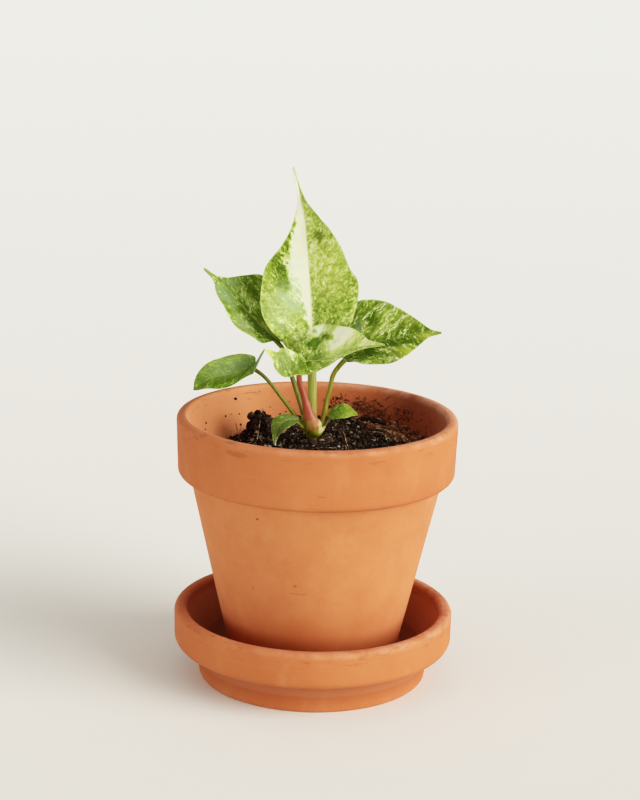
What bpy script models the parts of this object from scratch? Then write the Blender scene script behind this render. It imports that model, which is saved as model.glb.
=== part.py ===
"""Potted anthurium: a terracotta pot in its saucer, potting mix, and a young plant with seven leaves.

Sizes are in millimetres and become metres where a mesh is made. The origin is the centre of the saucer's
underside, +Z is up, +X is to the right and -Y is the side that the tall leaf faces.
"""

import math

import bmesh
import bpy
import numpy as np
from mathutils.geometry import delaunay_2d_cdt

MM = 0.001
GAP = 0.3
SEGMENTS = 60
ARC_STEP = 40

# Saucer
SAUCER_RADIUS = 78.3
SAUCER_HEIGHT = 39.1
SAUCER_LIP = 6.8
SAUCER_BAND_HEIGHT = 21.4
SAUCER_BAND_TAPER = 0.3
SAUCER_BASE_RADIUS = 65.9
SAUCER_FOOT_RADIUS = 63.8
SAUCER_FLOOR = 10.2
SAUCER_FLOOR_RADIUS = 56.0

# Pot
POT_RADIUS = 77.8
POT_HEIGHT = 139.5
POT_LIP = 6.2
POT_BAND_HEIGHT = 33.8
POT_BAND_TAPER = 1.1
POT_BODY_RADIUS = 70.2
POT_FOOT_RADIUS = 46.2
POT_FLOOR = 9.0
POT_FLOOR_RADIUS = 41.0
DRAIN_RADIUS = 7.5
POT_BOTTOM = SAUCER_FLOOR + GAP
POT_RIM = POT_BOTTOM + POT_HEIGHT

# Potting mix
SOIL_LEVEL = 130.3
MOUND_HEIGHT = 6.0
MOUND_RADIUS = 12.0
LEFT_DROP = 9.0
DROP_START = 24.0
DROP_WIDTH = 36.0
HEAP_CENTRE = (30.0, 56.0)
HEAP_HEIGHT = 2.2
HEAP_RADIUS = 18.0
SOIL_SPACING = 5.2
SOIL_JITTER = 1.1
SOIL_ROUGHNESS = 0.9
WALL_GAP = 1.1 * GAP
SOIL_BOTTOM = POT_BOTTOM + POT_FLOOR + GAP
SOIL_CHAMFER = 5.2
CLUMP_CENTRE = (-33.0, 34.0)
CLUMP_HEIGHT = 11.0
CLUMP_RADIUS = 5.5
CLUMP_SIDES = 10

# Crown
CROWN_X = -3.0
CROWN_SIDES = 14
CROWN_STEM_RADIUS = 3.2
CROWN_HOLE_BOTTOM = 116.4
HOLE_RADIUS = CROWN_STEM_RADIUS + 1.3 * GAP

# Leaves
BLADE_THICKNESS = 0.8
RIB_THICKNESS = 0.6
RIB_WIDTH = 1.3
BLADE_COLUMNS = (0.0, 0.08, 0.36, 0.7, 1.0)
VEIN_SLANT = 0.45
STALK_SIDES = 8

# The course of a leaf is given by its rib, from the stalk to the tip. Each half, left and right as seen on
# the face with the tip up, has an outline of points (distance from the rib, distance along the rib), the
# directions in which it leaves the rib at some distances along it, and the direction of its basal lobe.
LEAVES = {
    "leaf_tall": {
        "rib": [(-4.2, 3, 181.5), (-4.2, 7, 196), (-5.7, 10, 216.5), (-8.2, 11, 242), (-9.8, 9, 258),
                (-12.5, 6, 272), (-16.5, 1, 286.4)],
        "left": {
            "outline": [(3.5, -4.5), (10.5, 1), (17.2, 9.7), (23.5, 16.1), (27.2, 24.3), (27.6, 35),
                        (25.8, 45), (22.6, 51.6), (15, 61.3), (8.4, 72.2), (3.7, 83),
                        (1.8, 95.5), (0.6, 107.6)],
            "sides": [(0, (-0.94, -0.34, 0)), (50, (-0.95, -0.3, 0)), (100, (-0.8, -0.6, 0))],
        },
        "right": {
            "outline": [(3, 0), (8.5, 5), (15.9, 9.4), (21.4, 19), (26, 33.3), (27, 43.9), (22.4, 51.1),
                        (18.6, 63.1), (14.5, 72), (9.2, 77.2), (4.6, 85.3), (1, 95.1), (0.6, 107.6)],
            "sides": [(0, (0.94, -0.34, 0)), (50, (0.96, -0.28, 0)), (100, (0.8, -0.6, 0))],
        },
        "curl": 0.004, "wave": 0.9, "waves": 4.5, "rows": 24,
    },
    "leaf_left": {
        "rib": [(-23.5, 9, 189.3), (-34.2, 12, 198.2), (-44.4, 14.5, 208), (-54.5, 16, 218.5),
                (-64.8, 15, 227.4)],
        "left": {
            "outline": [(1.5, 0), (4, 2.5), (9.9, 6.4), (12.3, 12.8), (13.8, 20.7), (13.7, 29.1),
                        (10.6, 36.6), (6.8, 43.3), (2.5, 49), (0.6, 56.5)],
            "sides": [(0, (-0.33, -0.85, -0.35)), (28, (-0.33, -0.85, -0.35)), (57, (-0.4, -0.8, -0.4))],
        },
        "right": {
            "outline": [(2, -6), (8, -9), (15, -5.5), (20.5, 4), (23, 17), (20.9, 29.7), (13.2, 37),
                        (4.9, 43.3), (1.4, 49), (0.6, 56.5)],
            "sides": [(0, (0.62, 0.35, 0.7)), (28, (0.62, 0.4, 0.68)), (57, (0.6, 0.3, 0.7))],
        },
        "curl": 0.005, "wave": 0.7, "waves": 3.5, "rows": 18,
    },
    "leaf_right": {
        "rib": [(13.7, 6, 181), (23.4, 6, 186.4), (33.2, 5.5, 190.7), (49.5, 4, 195.1), (66.9, 1, 197.4)],
        "left": {
            "outline": [(2, -6), (10, -9), (18, -6), (24, 2), (26.7, 11.7), (22.6, 23), (17.2, 30.7),
                        (11.3, 38.4), (5.6, 45.6), (2.1, 50.5), (0.5, 56.1)],
            "sides": [(0, (-0.2, 0.3, 0.93)), (28, (0, 0.35, 0.93)), (54, (0, 0.3, 0.95))],
        },
        "right": {
            "outline": [(2, -0.5), (6, 2), (10.8, 6.8), (15.6, 12.2), (16.8, 20), (18.5, 29), (16.6, 33.4),
                        (10.6, 40.1), (3.8, 48), (1.8, 51.3), (0.5, 56.1)],
            "sides": [(0, (-0.1, -0.97, -0.22)), (28, (0, -0.88, -0.47)), (54, (0, -0.7, -0.7))],
        },
        "curl": 0.005, "wave": 0.7, "waves": 3.5, "rows": 18,
    },
    "leaf_front": {
        "rib": [(-6.5, -9, 182.3), (-1.1, -11, 182.7), (3.7, -13, 184.9), (10.1, -15, 188.1),
                (17.6, -17.5, 191.3), (25, -20, 193.8), (35.3, -24, 195.5)],
        "left": {
            "outline": [(2, -3), (8.6, -3.5), (14.5, -2), (19, 2.5), (20, 8), (16.5, 15.5), (11.6, 26.6),
                        (6.2, 33.6), (2.8, 37.8), (0.6, 46.3)],
            "sides": [(-6, (0.05, 0.3, 0.95)), (8, (0.05, 0.33, 0.94)), (40, (0, 0.3, 0.95))],
            "lobe": (-0.93, 0.3, 0.1),
        },
        "right": {
            "outline": [(0.8, -12), (3, -17.5), (7, -20), (9.7, -26.7), (11.8, -21), (15.1, -18.7),
                        (16.5, -13), (15.8, -7.5), (12.8, -1), (9.8, 6), (9.4, 14.5), (6.3, 22),
                        (3, 31), (0.6, 46.3)],
            "sides": [(-14, (-0.25, -0.55, -0.8)), (0, (-0.15, -0.9, -0.42)), (12, (0, -0.97, -0.22)),
                      (40, (0, -0.9, -0.3))],
            "lobe": (-0.75, -0.25, 0.6),
        },
        "curl": 0.004, "wave": 0.5, "waves": 3.5, "rows": 26,
    },
    "leaf_small": {
        "rib": [(-35.7, -6, 177.8), (-45, -10, 174.3), (-52.4, -13, 173.2), (-59.5, -16, 172.1),
                (-67.7, -19, 166.8)],
        "left": {
            "outline": [(0.8, -9), (3, -11.5), (6, -9), (8, -2), (8.5, 6.5), (10.8, 15.5), (10, 24),
                        (5.5, 32), (0.6, 36.5)],
            "sides": [(-8, (0.1, -0.97, 0.22)), (0, (0, -0.95, -0.3)), (36, (0, -0.95, -0.3))],
            "lobe": (0.5, -0.05, 0.86),
        },
        "right": {
            "outline": [(2.5, -1), (7.5, 0.5), (12.2, 6.8), (13.8, 13.2), (12.6, 21.3), (10.2, 29.4),
                        (6, 35), (0.6, 36.5)],
            "sides": [(0, (0.1, 0.75, 0.6)), (20, (0, 0.7, 0.7)), (36, (-0.1, 0.6, 0.7))],
            "lobe": (0.9, 0.3, 0.1),
        },
        "curl": 0.006, "wave": 0.4, "waves": 2.5, "rows": 16,
    },
    "leaf_low_left": {
        "rib": [(-11, -7, 148.2), (-16.2, -10, 148.6), (-20.7, -13, 145.6), (-23.3, -16, 136.7)],
        "left": {
            "outline": [(1.5, 0), (4, 3), (4.8, 8), (4.2, 12), (1.6, 17), (0.6, 21.9)],
            "sides": [(0, (0.1, -0.9, -0.4)), (10, (0.35, -0.85, -0.4)), (20, (0.7, -0.7, -0.2))],
        },
        "right": {
            "outline": [(1.5, 0), (3.5, 3.5), (5, 9), (6.1, 12.6), (3, 17.2), (0.6, 21.9)],
            "sides": [(0, (-0.1, 0.6, 0.8)), (10, (-0.5, 0.5, 0.7)), (20, (-0.9, 0.2, 0.2))],
        },
        "curl": 0.01, "wave": 0.2, "waves": 2.5, "rows": 10,
    },
    "leaf_low_right": {
        "rib": [(6, 1, 148.8), (11.1, 0, 151.2), (16.6, 0, 151.9), (22.2, -2, 150.7)],
        "left": {
            "outline": [(2, 0), (5.5, 2.7), (6.3, 8.3), (3.9, 12.9), (1.8, 15.6), (0.6, 17.2)],
            "sides": [(0, (-0.1, 0.85, 0.5)), (17, (0, 0.8, 0.6))],
        },
        "right": {
            "outline": [(2, 0), (5, 3.4), (5.9, 7.5), (5, 11), (2.1, 15), (0.6, 17.2)],
            "sides": [(0, (0, -0.95, -0.3)), (17, (0, -0.9, -0.4))],
        },
        "curl": 0.01, "wave": 0.2, "waves": 2.5, "rows": 10,
    },
}

# Each stalk runs through points (x, y, z, radius) from its foot in the crown, and ends just under its leaf
# with the radius given as its top.
STALKS = {
    "stalk_tall": {
        "leaf": "leaf_tall",
        "path": [(-2.9, 3.6, 142.8, 2.0), (-2.8, 4.4, 148, 2.3), (-3.2, 5.2, 157, 2.5),
                 (-3.6, 5.8, 168, 2.5), (-3.9, 6.2, 177, 2.4)],
        "top": 2.1,
    },
    "stalk_left": {
        "leaf": "leaf_left",
        "path": [(-6.5, 1.6, 142.8, 1.3), (-8.6, 4, 151, 1.45), (-11.8, 6, 160.7, 1.45),
                 (-14.8, 7, 169.5, 1.4), (-17.4, 8, 178.5, 1.35), (-20.6, 9.5, 184.8, 1.3)],
        "top": 1.3,
    },
    "stalk_right": {
        "leaf": "leaf_right",
        "path": [(0.8, 1.2, 140.2, 1.4), (2.7, 2.4, 145, 1.6), (4.3, 3.6, 154, 1.35),
                 (6.3, 5, 163, 1.3), (8.5, 6.3, 172, 1.35)],
        "top": 1.4,
    },
    "stalk_front": {
        "leaf": "leaf_front",
        "path": [(-1.3, -2.7, 141.4, 2.6), (-2.5, -3, 144.3, 4.0), (-4.0, -3.2, 148.2, 3.6),
                 (-5.7, -3.3, 153.5, 2.6), (-8.0, -3.5, 161.5, 1.75), (-10.6, -4, 170, 1.6),
                 (-9.8, -5.2, 176, 1.6)],
        "top": 1.6,
    },
    "stalk_small": {
        "leaf": "leaf_small",
        "path": [(-7.6, -1.5, 142.8, 1.2), (-10.2, -1.3, 146, 1.25), (-14.8, -2, 152.5, 1.15),
                 (-20.4, -3, 160, 1.05), (-26, -4, 167.4, 1.0), (-31, -4.6, 172.7, 1.05)],
        "top": 1.1,
    },
    "stalk_low_left": {
        "leaf": "leaf_low_left",
        "path": [(-6.6, -3.4, 141.8, 0.7), (-9, -4.8, 144.3, 0.7)],
        "top": 0.7,
    },
    "stalk_low_right": {
        "leaf": "leaf_low_right",
        "path": [(0.9, -1.6, 138.8, 0.8), (3.2, -1, 142, 0.75), (5, 0, 145, 0.7)],
        "top": 0.7,
    },
}

# The crown's course (x from its axis, z, radius) from its buried end to its flared top
CROWN = [(0, 120, 3.1), (0, 124, 3.2), (0, 137.3, 3.2), (-0.1, 139.5, 4.3), (-0.5, 142, 5.6),
         (-1, 144.6, 6.6), (-1.3, 146.4, 5.6)]


def clear_scene():
    for existing in list(bpy.data.objects):
        bpy.data.objects.remove(existing, do_unlink=True)


def make_material(name, colour, roughness):
    material = bpy.data.materials.new(name)
    material.use_nodes = True
    shader = material.node_tree.nodes["Principled BSDF"]
    shader.inputs["Base Color"].default_value = (*colour, 1.0)
    shader.inputs["Roughness"].default_value = roughness
    shader.inputs["Metallic"].default_value = 0.0
    material.diffuse_color = (*colour, 1.0)
    return material


def make_object(name, bm, material, sharp_degrees=40):
    """Put a closed mesh of millimetre coordinates into the scene, in metres and with smooth shading."""
    bmesh.ops.scale(bm, vec=(MM, MM, MM), verts=bm.verts)
    mesh = bpy.data.meshes.new(name)
    bm.to_mesh(mesh)
    bm.free()
    mesh.shade_smooth()
    mesh.set_sharp_from_angle(angle=math.radians(sharp_degrees))
    mesh.materials.append(material)
    made = bpy.data.objects.new(name, mesh)
    bpy.context.scene.collection.objects.link(made)
    return made


def rounded(corners):
    """Outline points of a polygon whose corners (radius, height, rounding) are replaced by arcs."""
    points = []
    for index, (r, z, rounding) in enumerate(corners):
        here = np.array([r, z], float)
        if rounding == 0:
            points.append(here)
            continue
        before = np.array(corners[index - 1][:2], float) - here
        after = np.array(corners[(index + 1) % len(corners)][:2], float) - here
        before /= np.linalg.norm(before)
        after /= np.linalg.norm(after)
        half = math.acos(float(np.clip(before @ after, -1, 1))) / 2
        bisector = (before + after) / np.linalg.norm(before + after)
        centre = here + bisector * rounding / math.sin(half)
        start = here + before * rounding / math.tan(half) - centre
        sweep = math.pi - 2 * half
        turn = math.copysign(1, start[0] * after[1] - start[1] * after[0])
        steps = max(2, math.ceil(sweep / math.radians(ARC_STEP)))
        for step in range(steps + 1):
            c = math.cos(turn * sweep * step / steps)
            s = math.sin(turn * sweep * step / steps)
            points.append(centre + (start[0] * c - start[1] * s, start[0] * s + start[1] * c))
    return points


def turned(name, outline, material, closed):
    """Spin an outline of (radius, height) points round the vertical axis."""
    bm = bmesh.new()
    verts = [bm.verts.new((r, 0, z)) for r, z in outline]
    pairs = list(zip(verts, verts[1:]))
    if closed:
        pairs.append((verts[-1], verts[0]))
    edges = [bm.edges.new(pair) for pair in pairs]
    bmesh.ops.spin(
        bm, geom=verts + edges, cent=(0, 0, 0), axis=(0, 0, 1), angle=math.tau, steps=SEGMENTS, use_merge=True
    )
    bmesh.ops.remove_doubles(bm, verts=bm.verts, dist=0.001)
    bmesh.ops.recalc_face_normals(bm, faces=bm.faces)
    return make_object(name, bm, material)


def pot_inside_radius(z):
    """Radius of the pot's inner wall at a height above the ground."""
    up = (z - POT_BOTTOM - POT_FLOOR) / (POT_HEIGHT - POT_FLOOR)
    return POT_FLOOR_RADIUS + (POT_RADIUS - POT_LIP - POT_FLOOR_RADIUS) * up


def make_saucer(material):
    band = SAUCER_HEIGHT - SAUCER_BAND_HEIGHT
    mouth = SAUCER_RADIUS - SAUCER_LIP
    corners = [
        (0, 0, 0),
        (SAUCER_FOOT_RADIUS, 0, 1.5),
        (SAUCER_BASE_RADIUS, band, 1.5),
        (SAUCER_RADIUS - SAUCER_BAND_TAPER, band + 0.4, 5.0),
        (SAUCER_RADIUS, SAUCER_HEIGHT, 3.3),
        (mouth, SAUCER_HEIGHT, 2.6),
        (mouth - 0.8, SAUCER_HEIGHT - 5, 9),
        (SAUCER_FLOOR_RADIUS + 3, SAUCER_FLOOR + 4.5, 7),
        (SAUCER_FLOOR_RADIUS - 1, SAUCER_FLOOR, 3),
        (0, SAUCER_FLOOR, 0),
    ]
    return turned("saucer", rounded(corners), material, closed=False)


def make_pot(material):
    band = POT_BOTTOM + POT_HEIGHT - POT_BAND_HEIGHT
    floor = POT_BOTTOM + POT_FLOOR
    corners = [
        (DRAIN_RADIUS, POT_BOTTOM, 1.0),
        (POT_FOOT_RADIUS, POT_BOTTOM, 2.0),
        (POT_BODY_RADIUS, band, 1.2),
        (POT_RADIUS - POT_BAND_TAPER, band + 0.6, 3.5),
        (POT_RADIUS, POT_RIM, 3.0),
        (POT_RADIUS - POT_LIP, POT_RIM, 2.4),
        (POT_FLOOR_RADIUS, floor, 6.0),
        (DRAIN_RADIUS, floor, 1.0),
    ]
    return turned("pot", rounded(corners), material, closed=True)


def soil_height(x, y):
    """Height of the soil: rolling, low at the left wall, with a mound at the crown, a heap and a clump."""
    from_crown = math.hypot(x - CROWN_X, y)
    level = SOIL_LEVEL + MOUND_HEIGHT * math.exp(-((from_crown / MOUND_RADIUS) ** 2))
    left = min(max((-x - DROP_START) / DROP_WIDTH, 0), 1)
    level -= LEFT_DROP * left * left * (3 - 2 * left)
    from_heap = math.hypot(x - HEAP_CENTRE[0], y - HEAP_CENTRE[1])
    level += HEAP_HEIGHT * math.exp(-((from_heap / HEAP_RADIUS) ** 2))
    rolling = 0.9 * math.sin(0.31 * x + 0.8) * math.cos(0.27 * y) + 0.6 * math.sin(0.62 * y - 0.4 * x)
    level += rolling * (1 - math.exp(-((from_crown / 9) ** 2)))
    from_clump = math.hypot(x - CLUMP_CENTRE[0], y - CLUMP_CENTRE[1]) / CLUMP_RADIUS
    return level + CLUMP_HEIGHT * math.exp(-(from_clump**4))


def soil_points(rng):
    """Places of the soil's surface points: the wall ring, the crown's hole, and a jittered grid between."""
    wall = []
    for k in range(SEGMENTS):
        angle = math.tau * k / SEGMENTS
        r = pot_inside_radius(SOIL_LEVEL)
        for _ in range(6):
            height = soil_height(r * math.cos(angle), r * math.sin(angle))
            r = pot_inside_radius(height) - WALL_GAP
        wall.append((r * math.cos(angle), r * math.sin(angle)))
    turns = [math.tau * k / CROWN_SIDES for k in range(CROWN_SIDES)]
    hole = [(CROWN_X + HOLE_RADIUS * math.cos(t), HOLE_RADIUS * math.sin(t)) for t in turns]
    reach = 0.95 * min(math.hypot(*p) for p in wall)
    grid = []
    across = int(2 * POT_RADIUS / SOIL_SPACING)
    for row in range(-across, across + 1):
        for column in range(-across, across + 1):
            x = (column + 0.5 * (row % 2)) * SOIL_SPACING + rng.uniform(-SOIL_JITTER, SOIL_JITTER)
            y = row * SOIL_SPACING * math.sqrt(0.75) + rng.uniform(-SOIL_JITTER, SOIL_JITTER)
            if math.hypot(x, y) < reach and math.hypot(x - CROWN_X, y) > HOLE_RADIUS + 2:
                grid.append((x, y))
    for factor in (0.45, 0.75, 1.05):
        for k in range(CLUMP_SIDES):
            angle = math.tau * (k + factor) / CLUMP_SIDES
            out = factor * CLUMP_RADIUS
            grid.append((CLUMP_CENTRE[0] + out * math.cos(angle), CLUMP_CENTRE[1] + out * math.sin(angle)))
    return wall, hole, grid


def make_soil(material):
    """The potting mix: a rough top, the pot's inside as its side, and a plain round hole for the crown."""
    rng = np.random.default_rng(11)
    wall, hole, grid = soil_points(rng)
    flat = wall + hole + grid
    n, m = len(wall), len(hole)
    loops = [(k, (k + 1) % n) for k in range(n)] + [(n + k, n + (k + 1) % m) for k in range(m)]
    _, _, faces, _, _, _ = delaunay_2d_cdt([tuple(map(float, p)) for p in flat], loops, [], 1, 1e-7)
    bm = bmesh.new()
    rough = np.append(np.zeros(n + m), rng.uniform(-SOIL_ROUGHNESS, SOIL_ROUGHNESS, len(grid)))
    top = [bm.verts.new((x, y, soil_height(x, y) + bump)) for (x, y), bump in zip(flat, rough)]
    for face in faces:
        if not all(n <= i < n + m for i in face):
            bm.faces.new([top[i] for i in face])

    def lowered(ring, radius_at, z, centre_x=0.0):
        made = []
        for vert in ring:
            angle = math.atan2(vert.co.y, vert.co.x - centre_x)
            x = centre_x + radius_at * math.cos(angle)
            made.append(bm.verts.new((x, radius_at * math.sin(angle), z)))
        for k, vert in enumerate(ring):
            after = (k + 1) % len(ring)
            bm.faces.new((vert, ring[after], made[after], made[k]))
        return made

    def closed_off(ring, x, z):
        middle = bm.verts.new((x, 0, z))
        for k, vert in enumerate(ring):
            bm.faces.new((vert, ring[(k + 1) % len(ring)], middle))

    shoulder = SOIL_BOTTOM + SOIL_CHAMFER
    side = lowered(top[:n], pot_inside_radius(shoulder) - WALL_GAP, shoulder)
    foot = lowered(side, POT_FLOOR_RADIUS - SOIL_CHAMFER, SOIL_BOTTOM)
    closed_off(foot, 0, SOIL_BOTTOM)
    pit = lowered(top[n:n + m], HOLE_RADIUS, CROWN_HOLE_BOTTOM, CROWN_X)
    closed_off(pit, CROWN_X, CROWN_HOLE_BOTTOM)
    bmesh.ops.recalc_face_normals(bm, faces=bm.faces)
    return make_object("soil", bm, material, sharp_degrees=30)


def through(points, count):
    """Points of a smooth curve through the given ones, with as many steps from each to the next."""
    p = np.array(points, float)
    p = np.vstack([2 * p[0] - p[1], p, 2 * p[-1] - p[-2]])
    spans = len(p) - 3
    t = np.linspace(0, spans, count)
    i = np.minimum(t.astype(int), spans - 1)
    f = (t - i)[:, None]
    a, b, c, d = p[i], p[i + 1], p[i + 2], p[i + 3]
    bend = 2 * a - 5 * b + 4 * c - d
    twist = 3 * b - a - 3 * c + d
    return b + 0.5 * ((c - a) * f + bend * f**2 + twist * f**3)


def evenly_through(points, count):
    """Evenly spaced points of the same curve, and its length. A radius can ride along as a fourth value."""
    fine = through(points, 30 * (len(points) - 1) + 1)
    walked = np.concatenate([[0], np.cumsum(np.linalg.norm(np.diff(fine[:, :3], axis=0), axis=1))])
    even = np.linspace(0, walked[-1], count)
    return np.column_stack([np.interp(even, walked, fine[:, k]) for k in range(fine.shape[1])]), walked[-1]


def unit(vector):
    vector = np.asarray(vector, float)
    return vector / np.linalg.norm(vector)


class Blade:
    """A leaf blade's middle surface, as a function of the distances across and along its rib."""

    def __init__(self, leaf):
        self.leaf = leaf
        self.rib, self.length = evenly_through(leaf["rib"], 200)
        self.start = unit(self.rib[4] - self.rib[0])

    def on_rib(self, along):
        step = np.clip(along / self.length, 0, 1) * (len(self.rib) - 1)
        return np.array([np.interp(step, np.arange(len(self.rib)), self.rib[:, k]) for k in range(3)])

    def tangent(self, along):
        along = min(max(along, 0.5), self.length - 0.5)
        return unit(self.on_rib(along + 0.5) - self.on_rib(along - 0.5))

    def side(self, half, along):
        stations = self.leaf[half]["sides"]
        for (low, a), (high, b) in zip(stations, stations[1:]):
            if along <= high or high == stations[-1][0]:
                f = min(max((along - low) / (high - low), 0), 1)
                f = f * f * (3 - 2 * f)
                return unit(unit(a) * (1 - f) + unit(b) * f)
        return unit(stations[-1][1])

    def face_normal(self, half, along):
        cross = np.cross(self.tangent(along), self.side(half, along))
        return unit(cross if half == "left" else -cross)

    def point(self, half, across, along, lift=0.0):
        start = self.on_rib(along)
        if along < 0:
            start = self.rib[0] - unit(self.leaf[half].get("lobe", -self.start)) * along
        rise = lift - self.leaf["curl"] * across * across
        return start + self.side(half, along) * across + self.face_normal(half, along) * rise

    def rows(self):
        """Where each row of the mesh leaves the rib, and its ends on the left and the right edge."""
        count = self.leaf["rows"] + 1
        left = through(self.leaf["left"]["outline"], count)
        right = through(self.leaf["right"]["outline"], count)
        starts = [0.0]
        for row in range(1, count):
            wanted = ((left + right)[row] @ (-VEIN_SLANT, 1)) / 2
            least = starts[-1] + 0.2 * self.length / count * row / count
            starts.append(max(wanted, least))
        starts = np.array(starts) * (self.length - 0.4) / starts[-1]
        return starts, {"left": left, "right": right}

    def stalk_end(self, radius):
        """The centre of a stalk's round end, on the underside of the blade's base."""
        normal = unit(self.face_normal("left", 1) + self.face_normal("right", 1))
        depth = BLADE_THICKNESS / 2 + RIB_THICKNESS + GAP + radius
        return self.on_rib(1.0) - normal * depth


def make_blade(name, material):
    """A waved blade with both faces split into triangles alike and a raised rib on its underside."""
    blade = Blade(LEAVES[name])
    leaf = blade.leaf
    columns = len(BLADE_COLUMNS)
    middle = bmesh.new()
    grid = {}
    ribs = {}
    starts, edges = blade.rows()
    for half, phase in (("left", 0.7), ("right", 2.1)):
        for row, (start, edge) in enumerate(zip(starts, edges[half])):
            swing = math.sin(math.tau * leaf["waves"] * row / leaf["rows"] + phase)
            even = max(0, 10 * row / leaf["rows"] - 9)
            for column, fraction in enumerate(BLADE_COLUMNS):
                if column == 0 and half == "right":
                    grid[half, row, 0] = grid["left", row, 0]
                    continue
                share = fraction * (1 - even) + column / (columns - 1) * even
                across = share * edge[0]
                along = start + share * (edge[1] - start)
                lift = leaf["wave"] * fraction**2 * swing * min(1, across / 4)
                vert = middle.verts.new(blade.point(half, across, along, lift))
                near_rib = math.exp(-((across / RIB_WIDTH) ** 2)) * (1 - max(along, 0) / blade.length)
                grid[half, row, column] = vert
                ribs[vert] = RIB_THICKNESS * near_rib
    for half in ("left", "right"):
        for row in range(leaf["rows"]):
            for column in range(columns - 1):
                a = grid[half, row, column]
                b = grid[half, row, column + 1]
                c = grid[half, row + 1, column + 1]
                d = grid[half, row + 1, column]
                for corners in ((a, c, b), (a, d, c)):
                    middle.faces.new(corners if half == "left" else corners[::-1])
    middle.normal_update()
    bm = bmesh.new()
    upper = {v: bm.verts.new(v.co + v.normal * BLADE_THICKNESS / 2) for v in middle.verts}
    lower = {v: bm.verts.new(v.co - v.normal * (BLADE_THICKNESS / 2 + ribs[v])) for v in middle.verts}
    for face in middle.faces:
        bm.faces.new([upper[v] for v in face.verts])
        bm.faces.new([lower[v] for v in reversed(face.verts)])
    for edge in middle.edges:
        if edge.is_boundary:
            loop = edge.link_loops[0]
            a, b = loop.vert, loop.link_loop_next.vert
            bm.faces.new((upper[b], upper[a], lower[a]))
            bm.faces.new((upper[b], lower[a], lower[b]))
    middle.free()
    bmesh.ops.recalc_face_normals(bm, faces=bm.faces)
    return make_object(name, bm, material, sharp_degrees=50)


def make_tube(name, path, sides, material, grow=0.0):
    """A round bar along a smooth path of points (x, y, z, radius), with round ends."""
    rings = 2 * (len(path) - 1) + 1
    course, _ = evenly_through(path, rings)
    centres = course[:, :3]
    sizes = course[:, 3] + grow
    tangents = np.gradient(centres, axis=0)
    side = unit(np.cross(tangents[0], (0, 1, 0.2)))
    bm = bmesh.new()
    loops = []

    def add_ring(centre, axis, radius, frame):
        out = np.cross(axis, frame)
        loops.append([
            bm.verts.new(centre + radius * (math.cos(t) * frame + math.sin(t) * out))
            for t in np.linspace(0, math.tau, sides, endpoint=False)
        ])

    for k, (centre, tangent, radius) in enumerate(zip(centres, tangents, sizes)):
        axis = unit(tangent)
        side = unit(side - axis * (side @ axis))
        ends = [(-1, 60), (-1, 30)] if k == 0 else [(1, 30), (1, 60)] if k == rings - 1 else []
        caps = [(centre + way * axis * radius * math.sin(math.radians(a)), radius * math.cos(math.radians(a)))
                for way, a in ends]
        for spot, size in (caps + [(centre, radius)] if k == 0 else [(centre, radius)] + caps):
            add_ring(spot, axis, size, side)
    first = bm.verts.new(centres[0] - unit(tangents[0]) * sizes[0])
    last = bm.verts.new(centres[-1] + unit(tangents[-1]) * sizes[-1])
    for lower, higher in zip(loops, loops[1:]):
        for k in range(sides):
            after = (k + 1) % sides
            bm.faces.new((lower[k], lower[after], higher[after], higher[k]))
    for k in range(sides):
        after = (k + 1) % sides
        bm.faces.new((first, loops[0][after], loops[0][k]))
        bm.faces.new((last, loops[-1][k], loops[-1][after]))
    bmesh.ops.recalc_face_normals(bm, faces=bm.faces)
    return make_object(name, bm, material, sharp_degrees=60)


def stalk_course(name):
    stalk = STALKS[name]
    end = Blade(LEAVES[stalk["leaf"]]).stalk_end(stalk["top"])
    return stalk["path"] + [(*end, stalk["top"])]


def make_crown(material):
    """The crown: a short stem with a flared top and a socket for the foot of every stalk."""
    crown = make_tube("crown", [(CROWN_X + x, 0, z, radius) for x, z, radius in CROWN], CROWN_SIDES, material)
    for name in STALKS:
        cutter = make_tube(name + "_socket", stalk_course(name), STALK_SIDES, material, grow=GAP)
        cutter.hide_render = True
        cutter.display_type = "WIRE"
        cut = crown.modifiers.new(name + "_socket", "BOOLEAN")
        cut.operation = "DIFFERENCE"
        cut.solver = "EXACT"
        cut.object = cutter
    return crown


def main():
    clear_scene()
    make_saucer(make_material("saucer_clay", (0.60, 0.25, 0.10), 0.85))
    make_pot(make_material("pot_clay", (0.62, 0.26, 0.10), 0.85))
    make_soil(make_material("potting_mix", (0.025, 0.017, 0.012), 0.95))
    make_crown(make_material("crown_green", (0.27, 0.33, 0.09), 0.5))
    greens = {
        "stalk_tall": (0.42, 0.55, 0.20),
        "stalk_left": (0.13, 0.22, 0.05),
        "stalk_right": (0.25, 0.38, 0.07),
        "stalk_front": (0.58, 0.22, 0.17),
        "stalk_small": (0.22, 0.33, 0.06),
        "stalk_low_left": (0.16, 0.26, 0.06),
        "stalk_low_right": (0.12, 0.12, 0.05),
        "leaf_tall": (0.45, 0.60, 0.25),
        "leaf_left": (0.16, 0.32, 0.07),
        "leaf_right": (0.22, 0.38, 0.10),
        "leaf_front": (0.50, 0.62, 0.30),
        "leaf_small": (0.22, 0.32, 0.12),
        "leaf_low_left": (0.10, 0.25, 0.06),
        "leaf_low_right": (0.16, 0.36, 0.08),
    }
    for name in STALKS:
        make_tube(name, stalk_course(name), STALK_SIDES, make_material(name + "_skin", greens[name], 0.45))
    for name in LEAVES:
        make_blade(name, make_material(name + "_skin", greens[name], 0.45))


main()
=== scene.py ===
import math
from collections import namedtuple

import bmesh
import bpy
import numpy as np
from mathutils import Euler, Matrix, Vector


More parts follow.
